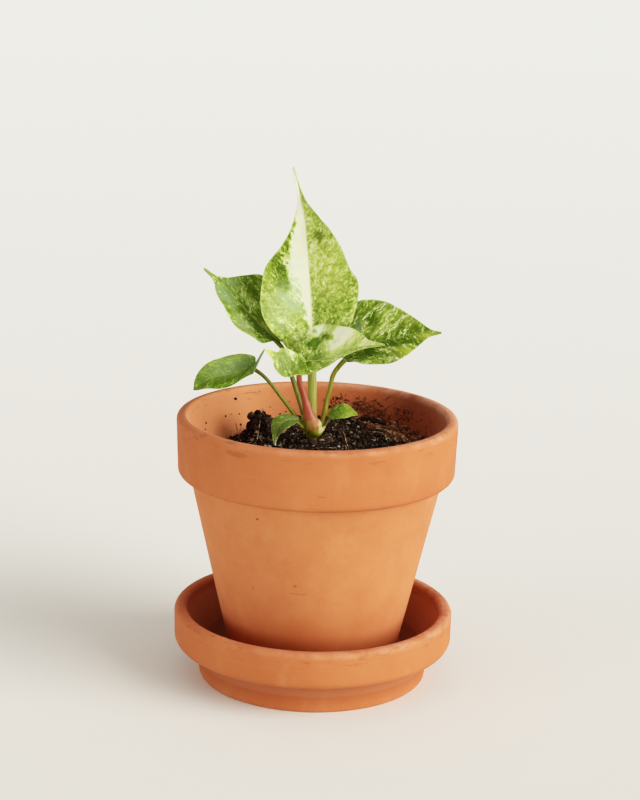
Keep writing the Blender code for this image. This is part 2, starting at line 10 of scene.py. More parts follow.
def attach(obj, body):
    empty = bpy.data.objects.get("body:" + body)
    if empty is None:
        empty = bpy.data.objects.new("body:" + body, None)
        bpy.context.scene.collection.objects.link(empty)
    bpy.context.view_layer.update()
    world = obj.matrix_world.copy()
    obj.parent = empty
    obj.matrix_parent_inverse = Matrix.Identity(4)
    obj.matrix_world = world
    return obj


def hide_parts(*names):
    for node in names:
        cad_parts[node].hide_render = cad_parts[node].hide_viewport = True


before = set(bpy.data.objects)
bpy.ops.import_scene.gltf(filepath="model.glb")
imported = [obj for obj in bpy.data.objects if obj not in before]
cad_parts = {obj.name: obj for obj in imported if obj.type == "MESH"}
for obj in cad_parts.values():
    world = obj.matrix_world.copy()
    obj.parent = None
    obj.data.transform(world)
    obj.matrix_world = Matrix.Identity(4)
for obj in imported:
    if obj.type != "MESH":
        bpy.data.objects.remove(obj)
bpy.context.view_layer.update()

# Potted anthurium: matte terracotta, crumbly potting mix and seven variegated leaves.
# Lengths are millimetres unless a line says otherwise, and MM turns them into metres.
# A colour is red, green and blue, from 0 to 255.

MM = 0.001


def paint(red, green, blue):
    """A colour as the linear values that a shader takes."""
    shares = [v / 255 for v in (red, green, blue)]
    return (*[s / 12.92 if s <= 0.04045 else ((s + 0.055) / 1.055) ** 2.4 for s in shares], 1.0)


# Finishes: shader maths written as expressions

def adds_node(operation, turned=False):
    """What an operator does between flows or numbers: it adds a Math node."""
    def act(flow, *others):
        values = (*others, flow) if turned else (flow, *others)
        return flow.nodes.node("ShaderNodeMath", {"operation": operation}, values)
    return act


class Flow:
    """What flows out of a node's socket."""

    def __init__(self, nodes, socket):
        self.nodes = nodes
        self.socket = socket

    __add__ = __radd__ = adds_node("ADD")
    __sub__ = adds_node("SUBTRACT")
    __rsub__ = adds_node("SUBTRACT", turned=True)
    __mul__ = adds_node("MULTIPLY")
    __truediv__ = adds_node("DIVIDE")
    __abs__ = adds_node("ABSOLUTE")

    def clipped(self):
        return self.nodes.node("ShaderNodeClamp", {}, {"Value": self})

    def eased(self, low, high):
        """0 at low, 1 at high and smooth between them. Low may be the larger one."""
        settings = {"interpolation_type": "SMOOTHSTEP"}
        inputs = {"Value": self, "From Min": low, "From Max": high}
        return self.nodes.node("ShaderNodeMapRange", settings, inputs)

    def eased_mm(self, low, high):
        """The same for a flow in metres, between two lengths in millimetres."""
        return self.eased(low * MM, high * MM)


class Nodes:
    """A node tree: one shader and all that feeds it."""

    def __init__(self, tree, shader):
        self.tree = tree
        self.shader = tree.nodes[shader]

    def node(self, kind, settings, inputs=(), output=0):
        """Any node: its settings first, then the values, colours or flows of its inputs."""
        made = self.tree.nodes.new(kind)
        for word, value in settings.items():
            if word == "stops":
                self.set_stops(made.color_ramp, value)
            elif word == "points":
                self.set_points(made.mapping, value)
            else:
                setattr(made, word, value)
        for place, value in inputs.items() if isinstance(inputs, dict) else enumerate(inputs):
            socket = made.inputs[place]
            if isinstance(value, Flow):
                self.tree.links.new(value.socket, socket)
            else:
                socket.default_value = paint(*value) if socket.type == "RGBA" else value
        return Flow(self, made.outputs[output])

    @staticmethod
    def set_stops(ramp, stops):
        """Stops are a place and a colour, which is linear where it has four values."""
        ramp.elements[0].position = stops[0][0]
        ramp.elements[1].position = stops[-1][0]
        for place, _ in stops[1:-1]:
            ramp.elements.new(place)
        for element, (_, colour) in zip(ramp.elements, stops):
            element.color = colour if len(colour) == 4 else paint(*colour)

    @staticmethod
    def set_points(mapping, points, curve=0):
        line = mapping.curves[curve].points
        line[0].location = points[0]
        line[1].location = points[-1]
        for x, y in points[1:-1]:
            line.new(x, y)
        mapping.update()

    def place(self):
        """Where a point is on the object, in metres."""
        return self.node("ShaderNodeTexCoord", {}, output="Object")

    def attribute(self, name):
        return self.node("ShaderNodeAttribute", {"attribute_name": name}, output="Vector")

    def parts(self, vector):
        split = self.node("ShaderNodeSeparateXYZ", {}, (vector,))
        return [Flow(self, socket) for socket in split.socket.node.outputs]

    def scaled(self, vector, factors):
        return self.node("ShaderNodeVectorMath", {"operation": "MULTIPLY"}, (vector, factors))

    def noise(self, vector, scale, detail=3.0, roughness=0.5):
        """Noise from 0 to 1. A scale of three factors makes it finer along some axes."""
        if isinstance(scale, tuple):
            vector, scale = self.scaled(vector, scale), 1
        inputs = {"Vector": vector, "Scale": scale, "Detail": detail, "Roughness": roughness}
        return self.node("ShaderNodeTexNoise", {}, inputs)

    def noise_at(self, x, y, z, detail, roughness=0.5):
        return self.noise(self.node("ShaderNodeCombineXYZ", {}, (x, y, z)), 1, detail, roughness)

    def reach(self, vector, centre, size, degrees=0):
        """How far out a place lies from an oval's centre: 1 on its edge."""
        moved = self.node("ShaderNodeMapping", {"vector_type": "TEXTURE"}, {
            "Vector": vector, "Location": centre, "Rotation": (0, 0, math.radians(degrees)), "Scale": size})
        return self.node("ShaderNodeVectorMath", {"operation": "LENGTH"}, (moved,), 1)

    def cells(self, vector, scale):
        return self.node("ShaderNodeTexVoronoi", {}, {"Vector": vector, "Scale": scale})

    def layered(self, colour, *layers):
        """A colour with others laid on it in turn. A layer is how far it covers, and its colour."""
        for share, over in layers:
            colour = self.node("ShaderNodeMix", {"data_type": "RGBA"}, {0: share, 6: colour, 7: over}, 2)
        return colour

    def ramp(self, value, stops):
        return self.node("ShaderNodeValToRGB", {"stops": stops}, (value,))

    def curve(self, value, points):
        """A smooth line through points, with both axes from 0 to 1."""
        return self.node("ShaderNodeFloatCurve", {"points": points}, {"Value": value})

    def feed(self, socket, value):
        self.tree.links.new(value.socket, self.shader.inputs[socket])


class Finish(Nodes):
    """A material with one Principled shader."""

    WORDS = {"Specular": "Specular IOR Level"}

    def __init__(self, name, **constants):
        self.material = bpy.data.materials.new(name)
        self.material.use_nodes = True
        super().__init__(self.material.node_tree, "Principled BSDF")
        for word, value in constants.items():
            self.shader.inputs[self.WORDS.get(word, word)].default_value = value

    def finished(self, colour, roughness=None, relief=None, depth=0.0):
        """The finish with its colour, its roughness and a relief of 0 to 1, that many millimetres deep."""
        self.feed("Base Color", colour)
        if roughness:
            self.feed("Roughness", roughness)
        if relief:
            self.feed("Normal", self.node("ShaderNodeBump", {}, {"Height": relief, "Distance": depth * MM}))
        return self


# Shared ways of making

EVENING_STEPS = 30
CAP_DEGREES = (25, 50, 70, 84)


def pick(piece=None):
    """Leave edit mode and deselect everything, then make the piece the only one selected."""
    if bpy.context.object and bpy.context.object.mode != "OBJECT":
        bpy.ops.object.mode_set(mode="OBJECT")
    bpy.ops.object.select_all(action="DESELECT")
    if piece:
        piece.select_set(True)
        bpy.context.view_layer.objects.active = piece


def dressed(piece, skin, slot, *replaced):
    """Give a piece its finish and its body, and hide the nodes that it stands for."""
    piece.data.materials.clear()
    piece.data.materials.append(skin.material)
    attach(piece, "root")
    if replaced:
        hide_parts(*replaced)


def linked(name, data):
    """A piece in the scene with that mesh or curve."""
    piece = bpy.data.objects.new(name, data)
    bpy.context.scene.collection.objects.link(piece)
    return piece


def edit_all(piece, kind):
    """Edit a piece with all of it selected, by its VERT, EDGE or FACE."""
    pick(piece)
    bpy.ops.object.mode_set(mode="EDIT")
    bpy.ops.mesh.select_mode(type=kind)
    bpy.ops.mesh.select_all(action="SELECT")


def select_where(piece, kind, belongs):
    """Select only the edges or faces that belong."""
    bpy.ops.mesh.select_all(action="DESELECT")
    bm = bmesh.from_edit_mesh(piece.data)
    for member in getattr(bm, kind):
        member.select_set(belongs(member))
    bmesh.update_edit_mesh(piece.data)


def applied(piece, kind, **settings):
    pick(piece)
    modifier = piece.modifiers.new(kind.lower(), kind)
    for word, value in settings.items():
        setattr(modifier, word, value)
    bpy.ops.object.modifier_apply(modifier=modifier.name)


def smoothed(piece, degrees=40):
    pick(piece)
    bpy.ops.object.shade_smooth_by_angle(angle=math.radians(degrees))


def new_piece(name, points, faces):
    mesh = bpy.data.meshes.new(name)
    mesh.from_pydata(np.asarray(points).tolist(), [], faces)
    mesh.update()
    return linked(name, mesh)


def keep_vectors(piece, name, vectors):
    """Store a vector for each point of the mesh, for its finish to read."""
    store = piece.data.attributes.new(name, "FLOAT_VECTOR", "POINT")
    store.data.foreach_set("vector", np.asarray(vectors, np.float32).ravel())


def keep_tone(piece, tone):
    keep_vectors(piece, "tone", np.tile((tone, 0, 0), (len(piece.data.vertices), 1)))


def unit(vectors):
    vectors = np.asarray(vectors, float)
    return vectors / np.linalg.norm(vectors, axis=-1, keepdims=True)


def through(points, count):
    """Points of a smooth curve through the given ones, with as many steps from each to the next."""
    p = np.array(points, float)
    p = np.vstack([2 * p[0] - p[1], p, 2 * p[-1] - p[-2]])
    spans = len(p) - 3
    t = np.linspace(0, spans, count)
    i = np.minimum(t.astype(int), spans - 1)
    f = (t - i)[:, None]
    a, b, c, d = p[i], p[i + 1], p[i + 2], p[i + 3]
    bend = 2 * a - 5 * b + 4 * c - d
    twist = 3 * b - a - 3 * c + d
    return b + 0.5 * ((c - a) * f + bend * f**2 + twist * f**3)


def evenly_through(points, count):
    """Evenly spaced points of the same curve, and its length. A radius can ride along as a fourth value."""
    fine = through(points, EVENING_STEPS * (len(points) - 1) + 1)
    walked = np.concatenate([[0], np.cumsum(np.linalg.norm(np.diff(fine[:, :3], axis=0), axis=1))])
    even = np.linspace(0, walked[-1], count)
    return np.column_stack([np.interp(even, walked, fine[:, k]) for k in range(fine.shape[1])]), walked[-1]


def drawn_tubes(name, courses, resolution):
    """Round stems along courses of points (x, y, z, radius): bevelled curves, then turned into one mesh."""
    curve = bpy.data.curves.new(name, "CURVE")
    curve.dimensions = "3D"
    curve.bevel_depth = MM
    curve.bevel_resolution = resolution
    curve.use_fill_caps = True
    for course in courses:
        spline = curve.splines.new("POLY")
        spline.points.add(len(course) - 1)
        spline.points.foreach_set("co", np.column_stack([course[:, :3] * MM, np.ones(len(course))]).ravel())
        spline.points.foreach_set("radius", course[:, 3])
    pick(linked(name, curve))
    bpy.ops.object.convert(target="MESH")
    return bpy.context.object


def round_ended(course):
    """The course with both of its ends drawn in like half a ball."""
    caps = []
    for end, near in ((course[0], course[1]), (course[-1], course[-2])):
        away = unit(end[:3] - near[:3])
        for degrees in CAP_DEGREES:
            out = end[3] * math.sin(math.radians(degrees))
            caps.append([*(end[:3] + away * out), end[3] * math.cos(math.radians(degrees))])
    return np.vstack([caps[3::-1], course, caps[4:]])


def ragged_balls(subdivisions, variants, roughness):
    """Points and faces of a few lumps of radius 1, to be copied many times."""
    lumps = []
    for seed in range(variants):
        pick()
        bpy.ops.mesh.primitive_ico_sphere_add(subdivisions=subdivisions, radius=1)
        ball = bpy.context.object
        edit_all(ball, "VERT")
        bpy.ops.transform.vertex_random(offset=roughness, seed=seed)
        bpy.ops.object.mode_set(mode="OBJECT")
        points = np.array([v.co for v in ball.data.vertices])
        faces = np.array([p.vertices for p in ball.data.polygons])
        bpy.data.objects.remove(ball)
        lumps.append((points, faces))
    return lumps


def scattered(name, lumps, places, sizes, tones, rng, slim=0.55):
    """One mesh of many lumps, each turned and squashed its own way, with a tone of its own stored on it."""
    points, faces, kept = [], [], []
    count = 0
    for place, size, tone in zip(places, sizes, tones):
        shape, corners = lumps[rng.integers(len(lumps))]
        turn = np.array(Euler(rng.uniform(0, math.tau, 3)).to_matrix())
        points.append((shape * rng.uniform(slim, 1.2, 3) * size) @ turn.T + place)
        faces.append(corners + count)
        kept.append(np.tile((tone, 0, 0), (len(shape), 1)))
        count += len(shape)
    piece = new_piece(name, np.concatenate(points) * MM, np.concatenate(faces).tolist())
    keep_vectors(piece, "tone", np.concatenate(kept))
    return piece


# Camera

PHOTO_HEIGHT = 800
SENSOR_WIDTH = 36
FOCAL_PIXELS = 1997
# In metres
CAMERA_DISTANCE = 1.1
CAMERA_AIM = Vector((0.00105, 0, 0.15805))
CAMERA_ELEVATION = math.radians(14.45)
CAMERA_ROLL = math.radians(1.43)


def set_camera():
    back = Vector((0, -math.cos(CAMERA_ELEVATION), math.sin(CAMERA_ELEVATION)))
    level = Vector((1, 0, 0))
    above = level.cross(-back)
    right = level * math.cos(CAMERA_ROLL) + above * math.sin(CAMERA_ROLL)
    up = above * math.cos(CAMERA_ROLL) - level * math.sin(CAMERA_ROLL)
    pick()
    bpy.ops.object.camera_add()
    camera = bpy.context.object
    turn = Matrix((right, up, back)).transposed().to_4x4()
    camera.matrix_world = Matrix.Translation(CAMERA_AIM + back * CAMERA_DISTANCE) @ turn
    camera.data.sensor_width = SENSOR_WIDTH
    camera.data.lens = SENSOR_WIDTH * FOCAL_PIXELS / PHOTO_HEIGHT
    bpy.context.scene.camera = camera


# Light and floor

# Each lamp: where it stands, strength, width in degrees
LAMPS = [((0.87, -0.42, 0.33), 4.3, 50), ((-0.85, -0.50, 0.07), 1.2, 34)]
# The sky: how high the light comes from (0 level, 1 overhead) and how strong it is
SKY = [(0, 1.35), (0.12, 0.95), (0.32, 0.51), (1, 0.42)]
# The floor: its side in metres, how far it lies below the saucer, and its colour from half a metre in
# front of the pot, with five metres to a unit. It pales further back as painted light.
FLOOR_SIZE = 60
FLOOR_DEPTH = 0.05
FLOOR_TONES = [
    (0.04, (230, 224, 209)), (0.14, (237, 232, 218)), (0.25, (243, 238, 224)), (0.5, (248, 245, 231)),
    (1.0, (253, 251, 236)),
]

# The tone curve: light from the scene, as a share of the brightest, and how light it is shown
BRIGHTEST = 1.57
TONES = [
    (0, 0), (0.003, 0.0023), (0.01, 0.0116), (0.02, 0.0291), (0.04, 0.0715), (0.07, 0.1426), (0.11, 0.2388),
    (0.17, 0.371), (0.25, 0.5159), (0.36, 0.6635), (0.5, 0.7908), (0.68, 0.8954), (0.85, 0.9596), (1, 1),
]


def set_studio():
    for spot, strength, width in LAMPS:
        pick()
        bpy.ops.object.light_add(type="SUN", location=spot)
        lamp = bpy.context.object
        lamp.data.energy = strength
        lamp.data.angle = math.radians(width)
        lamp.rotation_euler = Vector(spot).to_track_quat("Z", "Y").to_euler()
    world = bpy.data.worlds.new("studio")
    world.use_nodes = True
    sky = Nodes(world.node_tree, "Background")
    _, _, height = sky.parts(sky.node("ShaderNodeTexCoord", {}, output="Generated"))
    sky.feed("Color", sky.ramp(height, [(place, (light, light, light, 1)) for place, light in SKY]))
    bpy.context.scene.world = world
    view = bpy.context.scene.view_settings
    view.view_transform = "Standard"
    view.use_curve_mapping = True
    view.curve_mapping.white_level = (BRIGHTEST, BRIGHTEST, BRIGHTEST)
    Finish.set_points(view.curve_mapping, TONES, 3)
    pick()
    bpy.ops.mesh.primitive_plane_add(size=FLOOR_SIZE, location=(0, 0, -FLOOR_DEPTH * MM))
    floor = bpy.context.object
    skin = Finish("pale_floor", Roughness=0.75, Specular=0.1)
    _, y, _ = skin.parts(skin.place())
    # The floor's colour pales further back as painted light.
    floor.data.materials.append(skin.finished(skin.ramp(y / 5 + 0.1, FLOOR_TONES)).material)


# Terracotta

WHEEL_STEPS = 180
ROUNDING_STEPS = 7
# Points nearer than this, in metres, are at one place
TOUCHING = 1e-6
SAUCER_HEIGHT = 39.1
POT_RIM = 150.0
POT_FLOOR = 19.5
POT_FLOOR_RADIUS = 41.0
POT_MOUTH_RADIUS = 71.6

# Corners of the cross sections: radius, height, rounding
SAUCER_CORNERS = [
    (6, 0, 0), (63.8, 0, 1.5), (65.9, 17.7, 1.5), (78.0, 18.1, 5.0), (78.3, SAUCER_HEIGHT, 3.3),
    (71.5, SAUCER_HEIGHT, 2.6), (70.7, 34.1, 9), (59, 14.7, 7), (55, 10.2, 3), (6, 10.2, 0),
]
POT_CORNERS = [
    (7.5, 10.5, 1), (46.2, 10.5, 2), (70.2, 116.2, 1.2), (76.7, 116.8, 3.5), (77.8, POT_RIM, 3),
    (POT_MOUTH_RADIUS, POT_RIM, 2.4), (POT_FLOOR_RADIUS, POT_FLOOR, 6), (7.5, POT_FLOOR, 1),
]


def pot_inside_radius(z):
    up = (z - POT_FLOOR) / (POT_RIM - POT_FLOOR)
    return POT_FLOOR_RADIUS + (POT_MOUTH_RADIUS - POT_FLOOR_RADIUS) * up


def thrown(name, corners, has_drain):
    """Clay thrown on the wheel: a ring drawn from corner to corner, each of which is then rounded."""
    pick()
    first_radius, first_height, _ = corners[0]
    bpy.ops.mesh.primitive_circle_add(
        vertices=WHEEL_STEPS, radius=first_radius * MM, location=(0, 0, first_height * MM))
    clay = bpy.context.object
    clay.name = name
    bpy.ops.object.transform_apply(location=True)
    edit_all(clay, "EDGE")
    for (r, z, _), (wider, higher, _) in zip(corners, corners[1:]):
        bpy.ops.mesh.extrude_edges_move(TRANSFORM_OT_translate={"value": (0, 0, (higher - z) * MM)})
        bpy.ops.transform.resize(value=(wider / r, wider / r, 1), center_override=(0, 0, higher * MM))
    if has_drain:
        select_where(clay, "edges", lambda edge: edge.is_boundary)
        bpy.ops.mesh.bridge_edge_loops()
    else:
        for height in (corners[0][1], corners[-1][1]):
            select_where(clay, "edges", lambda edge: (
                edge.is_boundary and abs(edge.verts[0].co.z - height * MM) < TOUCHING))
            bpy.ops.mesh.edge_face_add()
    bpy.ops.mesh.select_all(action="SELECT")
    bpy.ops.mesh.normals_make_consistent(inside=False)
    for k, (r, z, rounding) in enumerate(corners):
        if rounding == 0:
            continue
        here = np.array([r, z])
        before = unit(np.array(corners[k - 1][:2]) - here)
        after = unit(np.array(corners[(k + 1) % len(corners)][:2]) - here)
        half = math.acos(float(before @ after)) / 2
        select_where(clay, "edges", lambda edge: all(
            abs(v.co.z - z * MM) < TOUCHING and abs(v.co.xy.length - r * MM) < TOUCHING
            for v in edge.verts))
        offset = rounding / math.tan(half) * MM
        bpy.ops.mesh.bevel(offset=offset, segments=ROUNDING_STEPS, profile=0.5, clamp_overlap=False)
    bpy.ops.object.mode_set(mode="OBJECT")
    smoothed(clay, 35)
    return clay


def inner_wall(x, y, z, radius, low, high):
    """1 inside the radius and above the height high, 0 below the height low."""
    return (x * x + y * y).eased((radius * MM) ** 2, ((radius - 2) * MM) ** 2) * z.eased_mm(low, high)


def wall_stain_light_and_shade(clay, colour, place, broad, fibres):
    """What wet peat left on the inner wall, behind the plant and to the right. The wall's left has painted
    light and its right painted shade.
    """
    x, y, z = clay.parts(place)
    inside = inner_wall(x, y, z, 74, 118, 120)
    climb = (z + (broad - 0.5) * 0.022 + (fibres - 0.5) * 0.008).eased_mm(147, 135)
    wet = inside * x.eased_mm(8, 30) * y.eased_mm(8, 30) * climb
    return clay.layered(
        colour,
        # Painted light: the inner wall is paler on the left.
        (inside * x.eased_mm(-8, -45) * (0.3 + broad * 0.4), (224, 146, 98)),
        # Painted shade: the inner wall is darker on the right.
        (inside * x.eased_mm(18, 52) * 0.7, (108, 46, 20)),
        (wet * 0.3, (128, 54, 26)),
        (wet * fibres.eased(0.52, 0.59) * 0.8, (70, 30, 14)))


# Small marks on the pot: where each is, its size across, deep and high, and how dark it is
POT_MARKS = [
    ((-30.4, -61.2, 108), (0.8, 2, 0.7), 0.8), ((-32.5, -48.8, 65.1), (0.5, 2, 1.6), 0.4),
    ((-9.8, -59, 70.5), (0.9, 2, 0.8), 0.45), ((-9, -58, 65.6), (6.5, 3, 0.5), 0.3),
    ((-42, -66, 144.4), (8, 6, 1.8), 0.3), ((3.3, -76.9, 126), (2.5, 2, 0.5), 0.25),
]


def clay_finish(name, below, lip_height, damp_height=0):
    """Matte unglazed clay: mottled orange, fine grain, turning lines, another tone below the band, a dusty
    lip and a few pits. Below the band the pot is paler as painted light and the saucer darker as painted
    shade. The lip's dust grows paler towards the right as painted light. The pot also has a foot darkened
    partly by damp and partly by painted shade, a stained inner wall with painted light on its left and
    painted shade on its right, and small marks."""
    clay = Finish(name, Roughness=0.86, Specular=0.3)
    place = clay.place()
    x, y, z = clay.parts(place)
    broad = clay.noise(place, 16, 4, 0.55)
    blotch = clay.noise(clay.scaled(place, (1, 1, 0.6)), 55, 4, 0.6)
    grain = clay.noise(place, 1400, 3, 0.7)
    turning = clay.noise(place, (4, 4, 900), 4, 0.65)
    dust = clay.noise(place, 70, 5, 0.65)
    rubbed = clay.noise(place, (90, 90, 420), 4, 0.7)
    # The tone below the band is painted light on the pot, which is paler there, and painted shade on the
    # saucer, which is darker there.
    band_bottom, tone, share = below
    lower = z.eased_mm(band_bottom + 0.6, band_bottom - 0.6) * z.eased_mm(0, 0.55 * band_bottom)
    colour = clay.layered(
        clay.ramp(broad, [(0.30, (164, 88, 50)), (0.5, (171, 96, 56)), (0.72, (178, 103, 62))]),
        (blotch.eased(0.52, 0.75) * 0.35, (189, 119, 78)),
        (blotch.eased(0.46, 0.28) * 0.30, (160, 81, 43)),
        (turning.eased(0.55, 0.8) * 0.16, (197, 134, 97)),
        (grain.eased(0.55, 0.8) * 0.16, (203, 147, 110)),
        (grain.eased(0.45, 0.2) * 0.18, (144, 69, 37)),
        (lower * (share + (dust - 0.5) * 0.3), tone))
    if damp_height:
        colour = wall_stain_light_and_shade(clay, colour, place, broad, clay.noise(place, (200, 200, 340), 5, 0.75))
        # Darker towards the foot, most near the middle of the front and back: partly damp clay and partly
        # painted shade from the saucer's rim.
        damp_and_shade = (z + abs(x) * 0.32 + (broad - 0.5) * 0.03).eased_mm(damp_height, 0.3 * damp_height)
        damp_and_shade = damp_and_shade * z.eased_mm(band_bottom + 1, band_bottom)
        colour = clay.layered(colour, (damp_and_shade * 0.7, (160, 68, 24)))
    else:
        colour = clay.layered(colour, (inner_wall(x, y, z, 72, 9, 10) * 0.4, (156, 100, 72)))
    # The lip's dust is real, and it grows paler towards the right as painted light.
    dust_and_light = z.eased_mm(lip_height - 4, lip_height - 0.6) * dust.eased(0.3, 0.65)
    colour = clay.layered(colour, (dust_and_light * x.eased_mm(-80, 60) * 0.35, (226, 172, 142)))
    for centre, size, strength in POT_MARKS if damp_height else ():
        reach = clay.reach(place, [part * MM for part in centre], [part * MM for part in size])
        mark = (reach + (rubbed - 0.5) * 2).eased(1.1, 0.6)
        colour = clay.layered(colour, (mark * strength, (96, 46, 24)))
    worn = z.eased_mm(lip_height - 12, lip_height - 4) * rubbed.eased(0.56, 0.66)
    pits = (1 - clay.cells(place, 520).eased(0.08, 0.16)) * clay.noise(place, 240, 2).eased(0.56, 0.64)
    colour = clay.layered(colour, (worn * 0.4, (110, 60, 36)), (pits * 0.55, (120, 56, 28)))
    relief = grain * 0.35 + turning * 0.45 + broad * 0.3 - pits * 0.4
    return clay.finished(colour, 0.78 + broad * 0.16, relief, 0.25)


def make_clay():
    saucer = thrown("saucer_thrown", SAUCER_CORNERS, False)
    # Its darker tone below the band is painted shade.
    saucer_skin = clay_finish("saucer_terracotta", (18, (128, 58, 26), 0.48), SAUCER_HEIGHT)
    dressed(saucer, saucer_skin, "saucer_clay", "saucer")
    pot = thrown("pot_thrown", POT_CORNERS, True)
    # Its paler tone below the band is painted light.
    pot_skin = clay_finish("pot_terracotta", (116, (226, 150, 100), 0.2), POT_RIM, 66)
    dressed(pot, pot_skin, "pot_clay", "pot")


# Potting mix

CROWN_X = -3.0
CLUMP_CENTRE = (-33.0, 34.0)
CLUMP_FOOT = 128
CLUMP_HEIGHT = 13.2
CLUMP_RADIUS = 6.5
# No part of the soil's top is lower than this
LOWEST_TOP = 116
TOP_CUTS = 4
CROWN_ROOM = 4.5
SOIL_ROUGHNESS = (("CLOUDS", 6.0, 2.2), ("VORONOI", 3.2, 1.6), ("CLOUDS", 1.2, 0.9))

# Courses of the pale root threads on the soil: x, y, height above it
ROOT_THREADS = [
    [(-28.7, 52, 3.5), (-30, 42, 2), (-31.5, 36, 3), (-33.6, 20, 1), (-34, 13, 0)],
    [(-36.1, 27.5, 0.5), (-33, 18, 2.2), (-29.6, 6, 0)],
    [(-14.2, 45.7, 0.5), (-17, 34, 1.8), (-20.4, 22, 0)],
    [(14.2, 33, 0.2), (15.5, 20, 2.5), (16.5, 8, 1.5), (18.2, -4.8, 0)],
    [(-46.5, 38, -1), (-46, 38.5, 4), (-46.8, 38, 8.5)],
    [(-44.6, 39, -1), (-44.4, 39, 4), (-43.6, 39.4, 7.5)],
    [(-48.2, 36, -1), (-48.6, 36.4, 3), (-50, 36.2, 6.5)],
    [(34, 42, 0.5), (38, 34, 2), (45, 30, 0.5)], [(30, 36, 0.5), (37, 26, 2.3), (40, 16, 0)],
    [(40, 38, 0), (46, 26, 1.8), (49, 14, 0.5)], [(38, 20, 0.4), (45, 22, 1.8), (52, 17, 0)],
    [(4, 18, 0.2), (8, 12, 1.6), (9, 3, 0)], [(-12, -18, 0.3), (-18, -14, 1.5), (-24, -16, 0)],
]


def make_ground():
    """The solid's soil with a finer, rougher top."""
    soil = linked("soil_ground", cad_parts["soil"].data.copy())
    edit_all(soil, "FACE")
    bpy.ops.mesh.remove_doubles(threshold=TOUCHING)
    bpy.ops.mesh.normals_make_consistent(inside=False)
    select_where(soil, "faces", lambda face: (
        face.normal.z > 0.15 and face.calc_center_median().z > (LOWEST_TOP + 2) * MM))
    bpy.ops.mesh.subdivide(number_cuts=TOP_CUTS)
    group = soil.vertex_groups.new(name="top")
    soil.vertex_groups.active_index = group.index
    bpy.ops.object.vertex_group_assign()
    bpy.ops.object.mode_set(mode="OBJECT")
    for kind, size, depth in SOIL_ROUGHNESS:
        grit = bpy.data.textures.new("grit", kind)
        grit.noise_scale = size * MM
        applied(soil, "DISPLACE", texture=grit, strength=depth * MM, direction="Z", vertex_group="top")
    smoothed(soil, 35)
    return soil


class Ground:
    """Places on top of the soil, in millimetres."""

    def __init__(self, soil):
        mesh = soil.data
        mesh.calc_loop_triangles()
        points = np.array([v.co for v in mesh.vertices]) / MM
        corners = points[np.array([t.vertices for t in mesh.loop_triangles])]
        normals = np.cross(corners[:, 1] - corners[:, 0], corners[:, 2] - corners[:, 0])
        top = (normals[:, 2] > 0) & (corners[:, :, 2].min(1) > LOWEST_TOP)
        self.corners = corners[top]
        self.areas = np.linalg.norm(normals[top], axis=1)
        self.places = self.corners.mean(1)

    def anywhere(self, rng, count):
        chosen = rng.choice(len(self.corners), count, p=self.areas / self.areas.sum())
        weights = rng.dirichlet((1, 1, 1), count)
        places = (self.corners[chosen] * weights[:, :, None]).sum(1)
        return places[np.hypot(places[:, 0] - CROWN_X, places[:, 1]) > CROWN_ROOM]

    def height(self, x, y):
        near = np.hypot(self.places[:, 0] - x, self.places[:, 1] - y).argsort()[:4]
        return self.places[near, 2].mean()


def mix_finish(name, redness=0.85):
    """Crumbs of peat and bark, each with its own tone, and red-brown fibrous peat at the back right."""
    mix = Finish(name, Roughness=0.95, Specular=0.15)
    place = mix.place()
    x, y, _ = mix.parts(place)
    tone, _, _ = mix.parts(mix.attribute("tone"))
    lumps = mix.noise(place, 300, 5, 0.7)
    fine = mix.noise(place, 1500, 4, 0.7)
    tone = (tone * 0.8 + lumps * 0.6 - 0.2).clipped()
    edge = mix.noise(place, 130, 3)
    red = (x + y * 0.62 + (edge - 0.5) * 0.022).eased_mm(53, 62)
    colour = mix.layered(
        mix.ramp(tone, MIXED_PEAT),
        (red * redness, mix.ramp(tone, RED_PEAT)),
        (fine.eased(0.54, 0.72) * 0.5, (150, 122, 94)),
        (fine.eased(0.46, 0.32) * 0.5, (16, 9, 5)))
    return mix.finished(colour, 0.86 + lumps * 0.12, fine, 0.6)


def dry_finish(name, roughness, scale, stops, depth):
    """For what lies pale and dry on the soil."""
    skin = Finish(name, Roughness=roughness, Specular=0.2)
    age = skin.noise(skin.place(), scale, 3)
    return skin.finished(skin.ramp(age, stops), None, age, depth)


# From dark to pale crumbs, in the mixed peat and in the red-brown peat
MIXED_PEAT = [
    (0.0, (12, 7, 4)), (0.25, (40, 26, 19)), (0.5, (82, 64, 52)), (0.75, (128, 110, 92)),
    (1.0, (172, 158, 128)),
]
RED_PEAT = [(0.0, (84, 42, 20)), (0.3, (136, 84, 56)), (0.6, (168, 118, 88)), (1.0, (200, 160, 124))]


def on_wall(degrees, height, off=0.4):
    """A place on the inner wall of the pot, or a little off it."""
    angle = math.radians(degrees)
    r = pot_inside_radius(height) - off
    return (r * math.cos(angle), r * math.sin(angle), height)


# Crumbs that stick to the inner wall of the pot: degrees, height, size
WALL_CRUMBS = [
    (133, 144.4, 1.3), (141, 136.1, 0.8), (137, 136.4, 0.6), (132, 135.6, 0.7), (132, 129.6, 0.8),
    (121, 136, 0.6), (114, 137, 0.6), (106, 133.8, 0.6), (104, 139.5, 0.5), (119, 146.6, 0.5),
    (158, 136.5, 0.8), (160, 133.4, 0.6), (140, 124.1, 0.8), (109, 132.7, 1.1), (71, 142.7, 0.8),
    (67, 139.9, 0.6), (57, 140.3, 0.7), (50, 143.5, 0.5), (47, 140.4, 0.9), (77, 141, 0.6),
    (39, 141, 0.7), (62, 141.5, 0.5), (62, 140.4, 0.7), (62, 139.2, 0.5),
]
